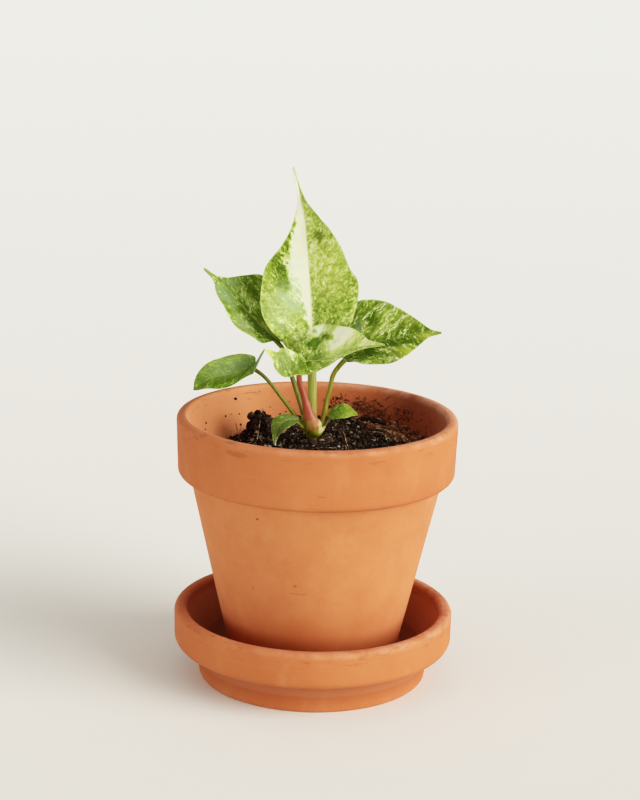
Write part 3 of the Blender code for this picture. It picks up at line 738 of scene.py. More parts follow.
# A dark strip on the soil at the back right, partly bark and partly painted shadow: x, y, z, radius
BARK_AND_SHADOW_STRIP = [(22.7, 57, 131.9, 0.9), (27, 55, 133, 1.6), (33, 51.5, 133.2, 1.5), (39, 47.5, 132.6, 0.7)]

# How many of each
GRAINS = 6000
LUMPS = 560
CLUMP_LUMPS = 260
STUCK_CRUMBS = 180
FIBRES = 96
FIBRE_GROUPS = 16
SHORT_ROOTS = 320
PERLITE_GRAINS = 26
# How far grains stand out of the soil
RESTING = (0, 0, 0.4)
# How far off the wall the middle of a small crumb or fibre is
CLINGING = 0.2
THREAD_RADIUS = 0.21
SHORT_ROOT_RADII = (0.09, 0.11, 0.07)
SHORT_ROOTS_ON_SOIL = 0.8
SOIL_SEED = 5


def spread(rng, count, low, width, power=1):
    """Random numbers from low to low + width. The higher the power, the more of them are near low."""
    return low + width * rng.random(count) ** power


def strew_crumbs(ground, grains, lumps, rng):
    """Grains and lumps all over the soil, and more lumps in the clump at the back left."""
    places = ground.anywhere(rng, GRAINS)
    sizes = spread(rng, len(places), 0.3, 0.9, 2)
    tones = spread(rng, len(places), 0, 1, 2.2)
    fine = scattered("soil_grains", grains, places + RESTING, sizes, tones, rng, 0.3)
    dressed(fine, mix_finish("potting_mix_grains"), "potting_mix")

    places = ground.anywhere(rng, LUMPS)
    sizes = spread(rng, len(places), 0.8, 1.7, 2.4)
    tones = spread(rng, len(places), 0.05, 0.6, 1.8)
    ring = rng.uniform(0, math.tau, CLUMP_LUMPS)
    out = spread(rng, CLUMP_LUMPS, 0, CLUMP_RADIUS, 0.6)
    up = rng.random(CLUMP_LUMPS)
    clump = np.stack([
        CLUMP_CENTRE[0] + out * np.cos(ring), CLUMP_CENTRE[1] + out * np.sin(ring),
        CLUMP_FOOT + up * (CLUMP_HEIGHT - 0.15 * out) + rng.normal(0, 0.5, CLUMP_LUMPS)], 1)
    places = np.concatenate([places, clump])
    sizes = np.concatenate([sizes, spread(rng, CLUMP_LUMPS, 0.6, 1.5, 2)])
    tones = np.concatenate([tones, spread(rng, CLUMP_LUMPS, 0.1, 0.4)])
    coarse = scattered("soil_lumps", lumps, places, sizes, tones, rng, 0.35)
    dressed(coarse, mix_finish("potting_mix_lumps"), "potting_mix")


def stick_to_wall(grains, rng):
    """Crumbs and fibres of peat on the inner wall, most of them at the back right."""
    places = [on_wall(degrees, height) for degrees, height, _ in WALL_CRUMBS]
    sizes = [0.8 * size for _, _, size in WALL_CRUMBS]
    around = spread(rng, STUCK_CRUMBS, 38, 45, 0.8)
    above = spread(rng, STUCK_CRUMBS, 130.5, 11, 1.2)
    places += [on_wall(degrees, height, CLINGING) for degrees, height in zip(around, above)]
    sizes = np.concatenate([sizes, spread(rng, STUCK_CRUMBS, 0.25, 0.8, 2)])
    stuck = scattered("wall_crumbs", grains, places, sizes, spread(rng, len(sizes), 0.05, 0.25), rng)
    dressed(stuck, mix_finish("potting_mix_stuck", 0.55), "potting_mix")

    courses = []
    groups = np.stack([rng.uniform(56, 84, FIBRE_GROUPS), rng.uniform(133, 141.5, FIBRE_GROUPS)], 1)
    for k in range(FIBRES):
        degrees, height = groups[k % FIBRE_GROUPS] + rng.normal(0, (2.4, 1.3))
        turn, climb = rng.normal(0, 0.6, 2)
        course = []
        for _ in range(4):
            course.append((*on_wall(degrees, height, CLINGING), 0.12 + 0.16 * rng.random()))
            degrees += turn + rng.normal(0, 0.2)
            height += climb + rng.normal(0, 0.15)
        courses.append(evenly_through(course, 8)[0])
    fibres = drawn_tubes("wall_fibres", courses, 1)
    keep_tone(fibres, 0.16)
    dressed(fibres, mix_finish("peat_fibres", 0.6), "potting_mix")


def lay_roots(ground, rng):
    """The pale threads that show in the photo, and many short thin ones."""
    courses = []
    for thread in ROOT_THREADS:
        points = [(x, y, ground.height(x, y) + up, THREAD_RADIUS) for x, y, up in thread]
        courses.append(evenly_through(points, 14)[0])
    for _ in range(SHORT_ROOTS):
        on_soil = rng.random() < SHORT_ROOTS_ON_SOIL
        start = ground.anywhere(rng, 1) if on_soil else np.array([on_wall(rng.uniform(38, 75), 132)])
        if len(start) == 0:
            continue
        way = rng.normal(0, 1, (3, 3)) * (2.2, 2.2, 0.9) + (0, 0, 0.3)
        walk = start + np.cumsum(way, 0) * 0.6
        courses.append(evenly_through(np.column_stack([walk, SHORT_ROOT_RADII]), 8)[0])
    roots = drawn_tubes("root_threads", courses, 2)
    skin = dry_finish("dry_roots", 0.8, 400, [
        (0.35, (94, 66, 44)), (0.48, (146, 118, 86)), (0.58, (200, 180, 146)), (0.7, (226, 214, 186))], 0.1)
    dressed(roots, skin, "potting_mix")


def make_soil():
    soil = make_ground()
    keep_tone(soil, 0.1)
    dressed(soil, mix_finish("potting_mix_ground"), "potting_mix", "soil")
    ground = Ground(soil)
    rng = np.random.default_rng(SOIL_SEED)
    grains = ragged_balls(1, 8, 0.45)
    lumps = ragged_balls(2, 6, 0.34)
    strew_crumbs(ground, grains, lumps, rng)
    stick_to_wall(grains, rng)

    # A dark strip, partly bark and partly painted shadow on the soil.
    bark = drawn_tubes("bark_and_shadow_strip", [round_ended(evenly_through(BARK_AND_SHADOW_STRIP, 16)[0])], 3)
    keep_tone(bark, 0.05)
    dressed(bark, mix_finish("bark", 0.0), "potting_mix")

    lay_roots(ground, rng)

    places = ground.anywhere(rng, PERLITE_GRAINS) + RESTING
    sizes = spread(rng, len(places), 0.3, 0.35)
    perlite = scattered("perlite", lumps, places, sizes, rng.random(len(places)), rng, 0.7)
    skin = dry_finish("perlite_white", 0.9, 900, [(0.35, (176, 168, 148)), (0.6, (226, 222, 208))], 0.3)
    dressed(perlite, skin, "potting_mix")


# Leaves: the same courses as in the solid, with how many veins each has and how it quilts between them.
# Outlines are distances across and along the rib. The sides say which way a half leaves the rib, and where.
# A lobe is the way in which a half goes on behind the rib's foot. Without one it goes straight on.

Half = namedtuple("Half", "outline sides lobe", defaults=[None])
Leaf = namedtuple("Leaf", "rib left right curl wave waves rows veins quilting")

LEAVES = {
    "leaf_tall": Leaf(
        [(-4.2, 3, 181.5), (-4.2, 7, 196), (-5.7, 10, 216.5), (-8.2, 11, 242), (-9.8, 9, 258),
         (-12.5, 6, 272), (-16.5, 1, 286.4)],
        Half([(3.5, -4.5), (10.5, 1), (17.2, 9.7), (23.5, 16.1), (27.2, 24.3), (27.6, 35), (25.8, 45),
              (22.6, 51.6), (15, 61.3), (8.4, 72.2), (3.7, 83), (1.8, 95.5), (0.6, 107.6)],
             [(0, (-0.94, -0.34, 0)), (50, (-0.95, -0.3, 0)), (100, (-0.8, -0.6, 0))]),
        Half([(3, 0), (8.5, 5), (15.9, 9.4), (21.4, 19), (26, 33.3), (27, 43.9), (22.4, 51.1), (18.6, 63.1),
              (14.5, 72), (9.2, 77.2), (4.6, 85.3), (1, 95.1), (0.6, 107.6)],
             [(0, (0.94, -0.34, 0)), (50, (0.96, -0.28, 0)), (100, (0.8, -0.6, 0))]),
        curl=0.004, wave=0.9, waves=4.5, rows=24, veins=17, quilting=0.12),
    "leaf_left": Leaf(
        [(-23.5, 9, 189.3), (-34.2, 12, 198.2), (-44.4, 14.5, 208), (-54.5, 16, 218.5), (-64.8, 15, 227.4)],
        Half([(1.5, 0), (4, 2.5), (9.9, 6.4), (12.3, 12.8), (13.8, 20.7), (13.7, 29.1), (10.6, 36.6),
              (6.8, 43.3), (2.5, 49), (0.6, 56.5)],
             [(0, (-0.33, -0.85, -0.35)), (28, (-0.33, -0.85, -0.35)), (57, (-0.4, -0.8, -0.4))]),
        Half([(2, -6), (8, -9), (15, -5.5), (20.5, 4), (23, 17), (20.9, 29.7), (13.2, 37), (4.9, 43.3),
              (1.4, 49), (0.6, 56.5)],
             [(0, (0.62, 0.35, 0.7)), (28, (0.62, 0.4, 0.68)), (57, (0.6, 0.3, 0.7))]),
        curl=0.005, wave=0.7, waves=3.5, rows=18, veins=11, quilting=0.2),
    "leaf_right": Leaf(
        [(13.7, 6, 181), (23.4, 6, 186.4), (33.2, 5.5, 190.7), (49.5, 4, 195.1), (66.9, 1, 197.4)],
        Half([(2, -6), (10, -9), (18, -6), (24, 2), (26.7, 11.7), (22.6, 23), (17.2, 30.7), (11.3, 38.4),
              (5.6, 45.6), (2.1, 50.5), (0.5, 56.1)],
             [(0, (-0.2, 0.3, 0.93)), (28, (0, 0.35, 0.93)), (54, (0, 0.3, 0.95))]),
        Half([(2, -0.5), (6, 2), (10.8, 6.8), (15.6, 12.2), (16.8, 20), (18.5, 29), (16.6, 33.4),
              (10.6, 40.1), (3.8, 48), (1.8, 51.3), (0.5, 56.1)],
             [(0, (-0.1, -0.97, -0.22)), (28, (0, -0.88, -0.47)), (54, (0, -0.7, -0.7))]),
        curl=0.005, wave=0.7, waves=3.5, rows=18, veins=12, quilting=0.12),
    "leaf_front": Leaf(
        [(-6.5, -9, 182.3), (-1.1, -11, 182.7), (3.7, -13, 184.9), (10.1, -15, 188.1), (17.6, -17.5, 191.3),
         (25, -20, 193.8), (35.3, -24, 195.5)],
        Half([(2, -3), (8.6, -3.5), (14.5, -2), (19, 2.5), (20, 8), (16.5, 15.5), (11.6, 26.6), (6.2, 33.6),
              (2.8, 37.8), (0.6, 46.3)],
             [(-6, (0.05, 0.3, 0.95)), (8, (0.05, 0.33, 0.94)), (40, (0, 0.3, 0.95))], (-0.93, 0.3, 0.1)),
        Half([(0.8, -12), (3, -17.5), (7, -20), (9.7, -26.7), (11.8, -21), (15.1, -18.7), (16.5, -13),
              (15.8, -7.5), (12.8, -1), (9.8, 6), (9.4, 14.5), (6.3, 22), (3, 31), (0.6, 46.3)],
             [(-14, (-0.25, -0.55, -0.8)), (0, (-0.15, -0.9, -0.42)), (12, (0, -0.97, -0.22)),
              (40, (0, -0.9, -0.3))], (-0.75, -0.25, 0.6)),
        curl=0.004, wave=0.5, waves=3.5, rows=26, veins=11, quilting=0.15),
    "leaf_small": Leaf(
        [(-35.7, -6, 177.8), (-45, -10, 174.3), (-52.4, -13, 173.2), (-59.5, -16, 172.1),
         (-67.7, -19, 166.8)],
        Half([(0.8, -9), (3, -11.5), (6, -9), (8, -2), (8.5, 6.5), (10.8, 15.5), (10, 24), (5.5, 32),
              (0.6, 36.5)],
             [(-8, (0.1, -0.97, 0.22)), (0, (0, -0.95, -0.3)), (36, (0, -0.95, -0.3))], (0.5, -0.05, 0.86)),
        Half([(2.5, -1), (7.5, 0.5), (12.2, 6.8), (13.8, 13.2), (12.6, 21.3), (10.2, 29.4), (6, 35),
              (0.6, 36.5)],
             [(0, (0.1, 0.75, 0.6)), (20, (0, 0.7, 0.7)), (36, (-0.1, 0.6, 0.7))], (0.9, 0.3, 0.1)),
        curl=0.006, wave=0.4, waves=2.5, rows=16, veins=9, quilting=0.15),
    "leaf_low_left": Leaf(
        [(-11, -7, 148.2), (-16.2, -10, 148.6), (-20.7, -13, 145.6), (-23.3, -16, 136.7)],
        Half([(1.5, 0), (4, 3), (4.8, 8), (4.2, 12), (1.6, 17), (0.6, 21.9)],
             [(0, (0.1, -0.9, -0.4)), (10, (0.35, -0.85, -0.4)), (20, (0.7, -0.7, -0.2))]),
        Half([(1.5, 0), (3.5, 3.5), (5, 9), (6.1, 12.6), (3, 17.2), (0.6, 21.9)],
             [(0, (-0.1, 0.6, 0.8)), (10, (-0.5, 0.5, 0.7)), (20, (-0.9, 0.2, 0.2))]),
        curl=0.01, wave=0.2, waves=2.5, rows=10, veins=6, quilting=0.08),
    "leaf_low_right": Leaf(
        [(6, 1, 148.8), (11.1, 0, 151.2), (16.6, 0, 151.9), (22.2, -2, 150.7)],
        Half([(2, 0), (5.5, 2.7), (6.3, 8.3), (3.9, 12.9), (1.8, 15.6), (0.6, 17.2)],
             [(0, (-0.1, 0.85, 0.5)), (17, (0, 0.8, 0.6))]),
        Half([(2, 0), (5, 3.4), (5.9, 7.5), (5, 11), (2.1, 15), (0.6, 17.2)],
             [(0, (0, -0.95, -0.3)), (17, (0, -0.9, -0.4))]),
        curl=0.01, wave=0.2, waves=2.5, rows=10, veins=6, quilting=0.08),
}

BLADE_THICKNESS = 0.55
RIB_THICKNESS = 0.6
RIB_WIDTH = 1.3
GROOVE_DEPTH = 0.2
GROOVE_WIDTH = 0.7
EDGE_THINNING = 0.65
VEIN_SLANT = 0.45
ROW_SPLITS = 6
COLUMNS = 22
RIB_POINTS = 200
# The least step from row to row near the tip, as a share of the mean one, and the last row's gap from the tip
LEAST_ROW = 0.2
TIP_GAP = 0.4
# How far from the rib waves and quilting are at their full height
WAVE_START = 4
QUILT_START = 6


class Blade:
    """A leaf blade's middle surface, as a function of the distances across and along its rib."""

    def __init__(self, leaf):
        self.halves = {"left": leaf.left, "right": leaf.right}
        self.curl = leaf.curl
        self.rib, self.length = evenly_through(leaf.rib, RIB_POINTS)
        self.start = unit(self.rib[4] - self.rib[0])

    def on_rib(self, along):
        step = np.clip(np.asarray(along) / self.length, 0, 1) * (len(self.rib) - 1)
        return np.stack([np.interp(step, np.arange(len(self.rib)), self.rib[:, k]) for k in range(3)], -1)

    def side(self, half, along):
        """The way in which a half leaves the rib."""
        spots = np.array([spot for spot, _ in self.halves[half].sides], float)
        ways = unit([way for _, way in self.halves[half].sides])
        k = np.clip(np.searchsorted(spots, along) - 1, 0, len(spots) - 2)
        f = np.clip((along - spots[k]) / (spots[k + 1] - spots[k]), 0, 1)
        f = (f * f * (3 - 2 * f))[..., None]
        return unit(ways[k] * (1 - f) + ways[k + 1] * f)

    def face_normal(self, half, along):
        near = np.clip(along, 0.5, self.length - 0.5)
        cross = np.cross(self.on_rib(near + 0.5) - self.on_rib(near - 0.5), self.side(half, along))
        return unit(cross if half == "left" else -cross)

    def point(self, half, across, along, lift):
        lobe = self.halves[half].lobe
        lobe = unit(-self.start if lobe is None else lobe)
        start = self.on_rib(along) - lobe * np.minimum(along, 0)[..., None]
        rise = (lift - self.curl * across**2)[..., None]
        return start + self.side(half, along) * across[..., None] + self.face_normal(half, along) * rise

    def rows(self, count):
        """Where each row of the mesh leaves the rib, and its ends on the left and the right edge."""
        edges = {half: through(self.halves[half].outline, count) for half in ("left", "right")}
        starts = [0.0]
        for row in range(1, count):
            wanted = ((edges["left"] + edges["right"])[row] @ (-VEIN_SLANT, 1)) / 2
            starts.append(max(wanted, starts[-1] + LEAST_ROW * self.length / count * row / count))
        return np.array(starts) * (self.length - TIP_GAP) / starts[-1], edges

    def stalk_end(self, radius):
        """The centre of the stalk's end, sunk a little into the underside of the blade's base."""
        normal = unit(self.face_normal("left", np.array(1.0)) + self.face_normal("right", np.array(1.0)))
        depth = BLADE_THICKNESS / 2 + 0.4 * RIB_THICKNESS + 0.75 * radius
        return self.on_rib(1.0) - normal * depth, normal


def joined(left, right):
    """Rows from the left edge to the right one. The halves share the column on the rib."""
    return np.concatenate([left[:, :0:-1], right], 1)


def make_blade(name):
    """A thin waved blade, with its place on the flat leaf and along its veins stored for its finish."""
    leaf = LEAVES[name]
    blade = Blade(leaf)
    rows = leaf.rows * ROW_SPLITS
    starts, edges = blade.rows(rows + 1)
    step = np.linspace(0, 1, rows + 1)[:, None]
    share = np.linspace(0, 1, COLUMNS + 1)[None, :]
    halves = {}
    for half, phase in (("left", 0.7), ("right", 2.1)):
        across = edges[half][:, :1] * share
        along = starts[:, None] + share * (edges[half][:, 1:] - starts[:, None])
        swing = np.sin(math.tau * leaf.waves * step + phase)
        lift = leaf.wave * share**2 * swing * np.minimum(1, across / WAVE_START)
        quilt = np.sin(math.tau * leaf.veins * step) * np.sin(math.pi * share) ** 0.7
        lift = lift + leaf.quilting * quilt * np.minimum(1, across / QUILT_START)
        halves[half] = (blade.point(half, across, along, lift), across, along)
    (left, left_across, left_along), (right, right_across, right_along) = halves["left"], halves["right"]
    middle = joined(left, right)
    across = joined(-left_across, right_across)
    along = joined(left_along, right_along)
    shares = joined(-share, share) * np.ones((rows + 1, 1))
    face = unit(np.cross(np.gradient(middle, axis=1), np.gradient(middle, axis=0)))
    near_base = 1 - np.clip(along, 0, None) / blade.length
    groove = GROOVE_DEPTH * np.exp(-((across / GROOVE_WIDTH) ** 2)) * near_base
    below = RIB_THICKNESS * np.exp(-((across / RIB_WIDTH) ** 2)) * near_base
    half_thick = BLADE_THICKNESS / 2 * (1 - EDGE_THINNING * np.abs(shares) ** 8)
    upper = middle + face * (half_thick - groove)[..., None]
    lower = middle - face * (half_thick + below)[..., None]
    high, wide = across.shape
    index = np.arange(high * wide).reshape(high, wide)
    quads = np.stack([index[:-1, :-1], index[:-1, 1:], index[1:, 1:], index[1:, :-1]], -1).reshape(-1, 4)
    rim = np.concatenate([index[0, :], index[1:, -1], index[-1, -2::-1], index[-2:0:-1, 0]])
    onward = np.roll(rim, -1)
    count = high * wide
    sides = np.stack([onward, rim, rim + count, onward + count], -1)
    points = np.concatenate([upper.reshape(-1, 3), lower.reshape(-1, 3)]) * MM
    faces = np.concatenate([quads, quads[:, ::-1] + count, sides])
    piece = new_piece(name + "_blade", points, faces.tolist())
    flat = np.stack([across, along, 0 * across], -1).reshape(-1, 3)
    keep_vectors(piece, "flat", np.concatenate([flat, flat]))
    walked = step * blade.length * np.ones_like(across)
    veins = [np.stack([shares, walked, 0 * across + under], -1).reshape(-1, 3) for under in (0, 1)]
    keep_vectors(piece, "vein", np.concatenate(veins))
    smoothed(piece, 70)
    return piece


# Greens, from the deepest to ivory
GREENS = [
    (0.00, (60, 80, 0)), (0.20, (74, 94, 4)), (0.40, (100, 122, 32)), (0.58, (134, 154, 62)),
    (0.74, (168, 182, 98)), (0.88, (196, 205, 142)), (1.00, (206, 205, 174)),
]
GREY_GREEN = (112, 134, 92)
OLIVE = (102, 110, 32)
YELLOW_GREEN = (158, 164, 60)
PALE_LINE = (190, 198, 126)

# How each leaf is marked. Streaks, specks and threads run at the slant, the fall of the veins for each
# millimetre across. Clouds to threads say how strongly each kind of mark shows, and the gap is that
# between veins.
Marks = namedtuple(
    "Marks", "seed slant pale clouds clusters blotches streaks specks threads gap vein_show rib_show rib")
MARKS = {
    "leaf_tall": Marks(1, 1.1, 0.54, 0.35, 0.6, 1.2, 1.0, 1.0, 0.1, 6.3, 0.1, 0.5, (204, 202, 150)),
    "leaf_left": Marks(12, 3.2, 0.3, 0.1, 0.4, 0.6, 0.8, 1.2, 0.4, 5.1, 0.1, 0.6, (142, 158, 74)),
    "leaf_right": Marks(23, 0.9, 0.4, 0.2, 0.9, 0.5, 1.3, 1.3, 0.5, 4.6, 0.1, 0.35, (104, 126, 44)),
    "leaf_front": Marks(34, 0.7, 0.48, 0.25, 0.6, 0.6, 1.1, 1.2, 0.3, 4.2, 0.1, 0.3, (180, 186, 110)),
    "leaf_small": Marks(45, 1.6, 0.26, 0.4, 0.7, 0.6, 0.9, 1.3, 0.1, 4.0, 0.08, 0.3, (104, 120, 52)),
    "leaf_low_left": Marks(56, 1.2, 0.04, 0.2, 0.3, 0.5, 1.0, 2.0, 0.7, 3.6, 0.04, 0.2, (110, 126, 62)),
    "leaf_low_right": Marks(67, 1.0, 0.32, 0.2, 0.3, 0.5, 0.8, 1.0, 0.2, 2.9, 0.1, 0.25, (116, 130, 58)),
}

# Where a leaf is paler or darker: (across, along), half the oval's size, degrees and how much
PATCHES = {
    "leaf_tall": [((-19, 53), (6, 7), -20, -0.22), ((-15, 43), (5, 9), 0, -0.3),
        ((-11, 65), (3.5, 7), 0, -0.24), ((-17, 22), (12, 4.5), -35, 0.04), ((-4.6, 78), (1.2, 2), 0, -0.5),
        ((-19, 14), (7, 5), -35, -0.1), ((-3, 92), (5, 13), 0, 0.25), ((7.5, 68), (3.2, 3.4), 0, -0.4),
        ((10, 60), (9, 20), 8, 0.12), ((15, 28), (10, 7), 30, -0.08), ((3, 60), (3, 26), 0, 0.14),
        ((8, 12), (8, 6), 20, -0.1)],
    "leaf_left": [((12.5, 30), (5, 9), 0, -0.16), ((14, 12), (8, 12), 0, -0.1),
        ((-3.5, 24), (2.6, 6), 0, -0.2), ((5, 28), (2.4, 11), 0, 0.2), ((0, 46), (5, 7), 0, 0.1),
        ((-11.5, 17), (3, 11), 0, 0.04), ((-6, 10), (3, 6), 0, -0.12)],
    "leaf_right": [((-13.5, 17.5), (3.6, 3.2), 20, -0.4), ((-18, 7), (8, 4), 0, -0.16),
        ((9, 24), (9, 16), 0, -0.08), ((-11.5, 27), (6, 6), -30, 0.18), ((-5, 20), (3, 7), 0, 0.16),
        ((-3, 38), (4, 11), 0, -0.14), ((4, 33), (4, 12), 0, -0.26), ((7, 14), (4.6, 8), 0, -0.34),
        ((14.5, 14), (3, 12), 0, 0.16), ((8.5, 30), (3, 6), 0, 0.14)],
    "leaf_front": [((-9.5, 3.6), (3.6, 2.4), -20, -0.75), ((-9, 20), (8, 10), 30, 0.5),
        ((-17, 3), (4.5, 8), 0, 0.4), ((-12, 10.5), (8, 1.6), 60, -0.4), ((2.5, -11.7), (3, 3.5), 0, 0.4),
        ((-4, 35), (6, 10), 0, 0.24), ((5, 17), (5, 12), 0, 0.18), ((10, -12), (8, 8), 0, -0.2),
        ((5, -2), (6, 5), 0, -0.12)],
    "leaf_small": [((10.5, 16), (4, 16), 0, 0.16), ((-4, 16), (6, 12), 0, -0.2),
        ((5, 8), (4, 5), 0, -0.14)],
    "leaf_low_left": [((0, 21), (4, 4), 0, 0.5)],
    "leaf_low_right": [((0, 13), (6, 4), 0, 0.08)],
}

# Where it has another colour: the same, with the colour before how much
TINTS = {
    "leaf_tall": [((-12, 31), (9, 3.4), -42, (140, 168, 124), 0.45),
        ((-8, 42), (3.5, 14), 0, (196, 210, 178), 0.4), ((-17, 28), (9, 12), 0, (176, 196, 136), 0.35),
        ((-7, 9.5), (6, 5), -40, OLIVE, 0.4), ((12, 50), (8, 22), 0, (168, 174, 84), 0.25)],
    "leaf_left": [((-4.5, 38), (4.5, 9), 0, (128, 152, 104), 0.55), ((5, 41), (6, 6), 0, GREY_GREEN, 0.25),
        ((1.5, 7), (2.4, 6), 0, YELLOW_GREEN, 0.6), ((-9, 20), (4, 8), 0, (152, 164, 118), 0.3),
        ((0, 56), (3, 4.5), 0, (92, 98, 60), 0.7)],
    "leaf_right": [((-12, 10.5), (4, 3), 0, GREY_GREEN, 0.5), ((11, 37), (3, 7), -20, YELLOW_GREEN, 0.4),
        ((2, 49), (3, 7), 0, YELLOW_GREEN, 0.45), ((-9, 38), (4, 7), 0, (120, 116, 50), 0.25),
        ((14, 32), (3, 4), 0, (118, 112, 40), 0.35), ((0, 57), (2, 3), 0, (110, 108, 50), 0.7)],
    "leaf_front": [((9.8, -25.5), (3, 4), 0, (190, 180, 80), 0.8),
        ((-1.5, 40), (4, 7), 0, (176, 182, 104), 0.3), ((10, -12), (8, 8), 0, (134, 150, 84), 0.3),
        ((-17.5, 5), (4, 6), 0, (190, 204, 160), 0.3), ((-9.5, 3.6), (2.6, 1.8), -20, (84, 120, 14), 0.6)],
    "leaf_small": [((6, 15), (8, 16), 0, (120, 138, 92), 0.45),
        ((-6.5, -6), (4, 7), 0, (116, 128, 92), 0.8)],
    "leaf_low_left": [((1, 10), (8, 12), 0, (92, 98, 52), 0.4)],
    "leaf_low_right": [((2, 13), (6, 4), 0, YELLOW_GREEN, 0.2)],
}

# Half width of the tall leaf's ivory sector at some distances along its rib
SECTOR_WIDTHS = [
    (0, 0.5), (10, 1.6), (17, 2.2), (23, 3.8), (32, 5), (41, 6.2), (47, 8.6), (53, 9.8), (61, 9.8), (71, 7),
    (78, 5.2), (88, 4.5), (108, 3),
]
SECTOR_LONG = 108
SECTOR_WIDE = 16


def with_sector(leaf, pale, across, along, ragged):
    """The tall leaf's ivory sector, between its midrib and a line that swings out from it and back."""
    line = [(place / SECTOR_LONG, width / SECTOR_WIDE) for place, width in SECTOR_WIDTHS]
    width = leaf.curve((along / SECTOR_LONG).clipped(), line) * SECTOR_WIDE
    left = across.eased(0.3, -0.1)
    edge = width + ragged * 2.5 + across
    halo = (edge + ragged * 3).eased(-6, 0) * left * along.eased(24, 34) * along.eased(64, 54)
    inside = edge.eased(-1.6, 1.4) * left
    beside = across.eased(1.5, 0.8) * across.eased(-0.2, 0.1) * 0.3
    pale = pale + halo * 0.7 * (0.88 - pale)
    return pale + (inside + beside) * (0.98 - pale)


def leaf_finish(name):
    """A variegated leaf: streaks, specks and threads along the veins, and paler and darker patches."""
    leaf = Finish(name + "_variegated", Roughness=0.5, Specular=0.2)
    flat = leaf.attribute("flat")
    across, along, _ = leaf.parts(flat)
    share, walked, under = leaf.parts(leaf.attribute("vein"))
    marks = MARKS[name]
    half = across.eased(-0.3, 0.3) * 9 + marks.seed
    cloud = leaf.noise_at(across * 0.09, along * 0.09, marks.seed + 4, 2)
    wander = leaf.noise_at(across * 0.22, along * 0.22, marks.seed + 6, 2) - 0.5
    slope = math.hypot(1, marks.slant)
    onward = (abs(across) + along * marks.slant) / slope + wander * 2
    aside = (along - abs(across) * marks.slant) / slope + wander * 5
    streak = leaf.noise_at(onward * 0.16, aside * 0.75, half, 4, 0.62)
    speck = leaf.noise_at(onward * 0.5, aside * 1.15, half + 9, 4, 0.68)
    web = leaf.noise_at(onward * 0.13, aside * 0.55, half + 20, 3, 0.55)
    cluster = leaf.noise_at(onward * 0.11, aside * 0.3, half + 30, 2)
    blotch = leaf.noise_at(across * 0.42, along * 0.36, half + 50, 4, 0.72)
    thread = abs(web - 0.5).eased(0.05, 0.01) * speck.eased(0.38, 0.56) * cluster.eased(0.42, 0.56)
    ragged = (streak - 0.5) * 1.6 + (speck - 0.5) * 1.2 + (cluster - 0.5) * 0.8

    def patch(centre, size, degrees):
        """1 inside an oval on the flat leaf, with a soft ragged edge."""
        return (leaf.reach(flat, (*centre, 0), (*size, 1), degrees) + ragged).eased(1.4, 0.3)

    pale = (cloud - 0.5) * marks.clouds + marks.pale
    for *oval, amount in PATCHES[name]:
        pale = pale + patch(*oval) * amount
    if name == "leaf_tall":
        pale = with_sector(leaf, pale, across, along, ragged)
    swing = (streak - 0.5) * marks.streaks + (speck - 0.5) * marks.specks + thread * marks.threads
    swing = swing + (cluster - 0.5) * marks.clusters + (blotch - 0.5) * marks.blotches
    pale = pale + swing * pale.eased(1.0, 0.8) * (pale.eased(-0.1, 0.2) * 0.75 + 0.25)
    lines = leaf.node("ShaderNodeMath", {"operation": "PINGPONG"}, (walked, marks.gap / 2))
    veins = (1 - lines.eased(0.03, 0.34)) * abs(share).eased(0.02, 0.15) * abs(share).eased(1.0, 0.75)
    rib = 1 - abs(across).eased(0.2, 0.7)
    colour = leaf.layered(
        leaf.ramp(pale.clipped(), GREENS),
        *[(patch(*oval) * strength, tint) for *oval, tint, strength in TINTS[name]],
        (veins * marks.vein_show, PALE_LINE),
        (rib * marks.rib_show, marks.rib),
        (abs(share).eased(0.96, 0.99) * 0.35, PALE_LINE),
        (under * 0.4, (126, 146, 82)))
    relief = streak * 0.5 + speck * 0.25 - veins * 0.15 - rib * 0.3
    return leaf.finished(colour, 0.44 + speck * 0.2, relief, 0.15)


def make_leaves():
    for name in LEAVES:
        dressed(make_blade(name), leaf_finish(name), name + "_skin", name)


# Stalks and crown. A stalk has a course (x, y, z, radius) from its foot in the crown, its radius at its
# leaf, and its colours from foot to leaf.

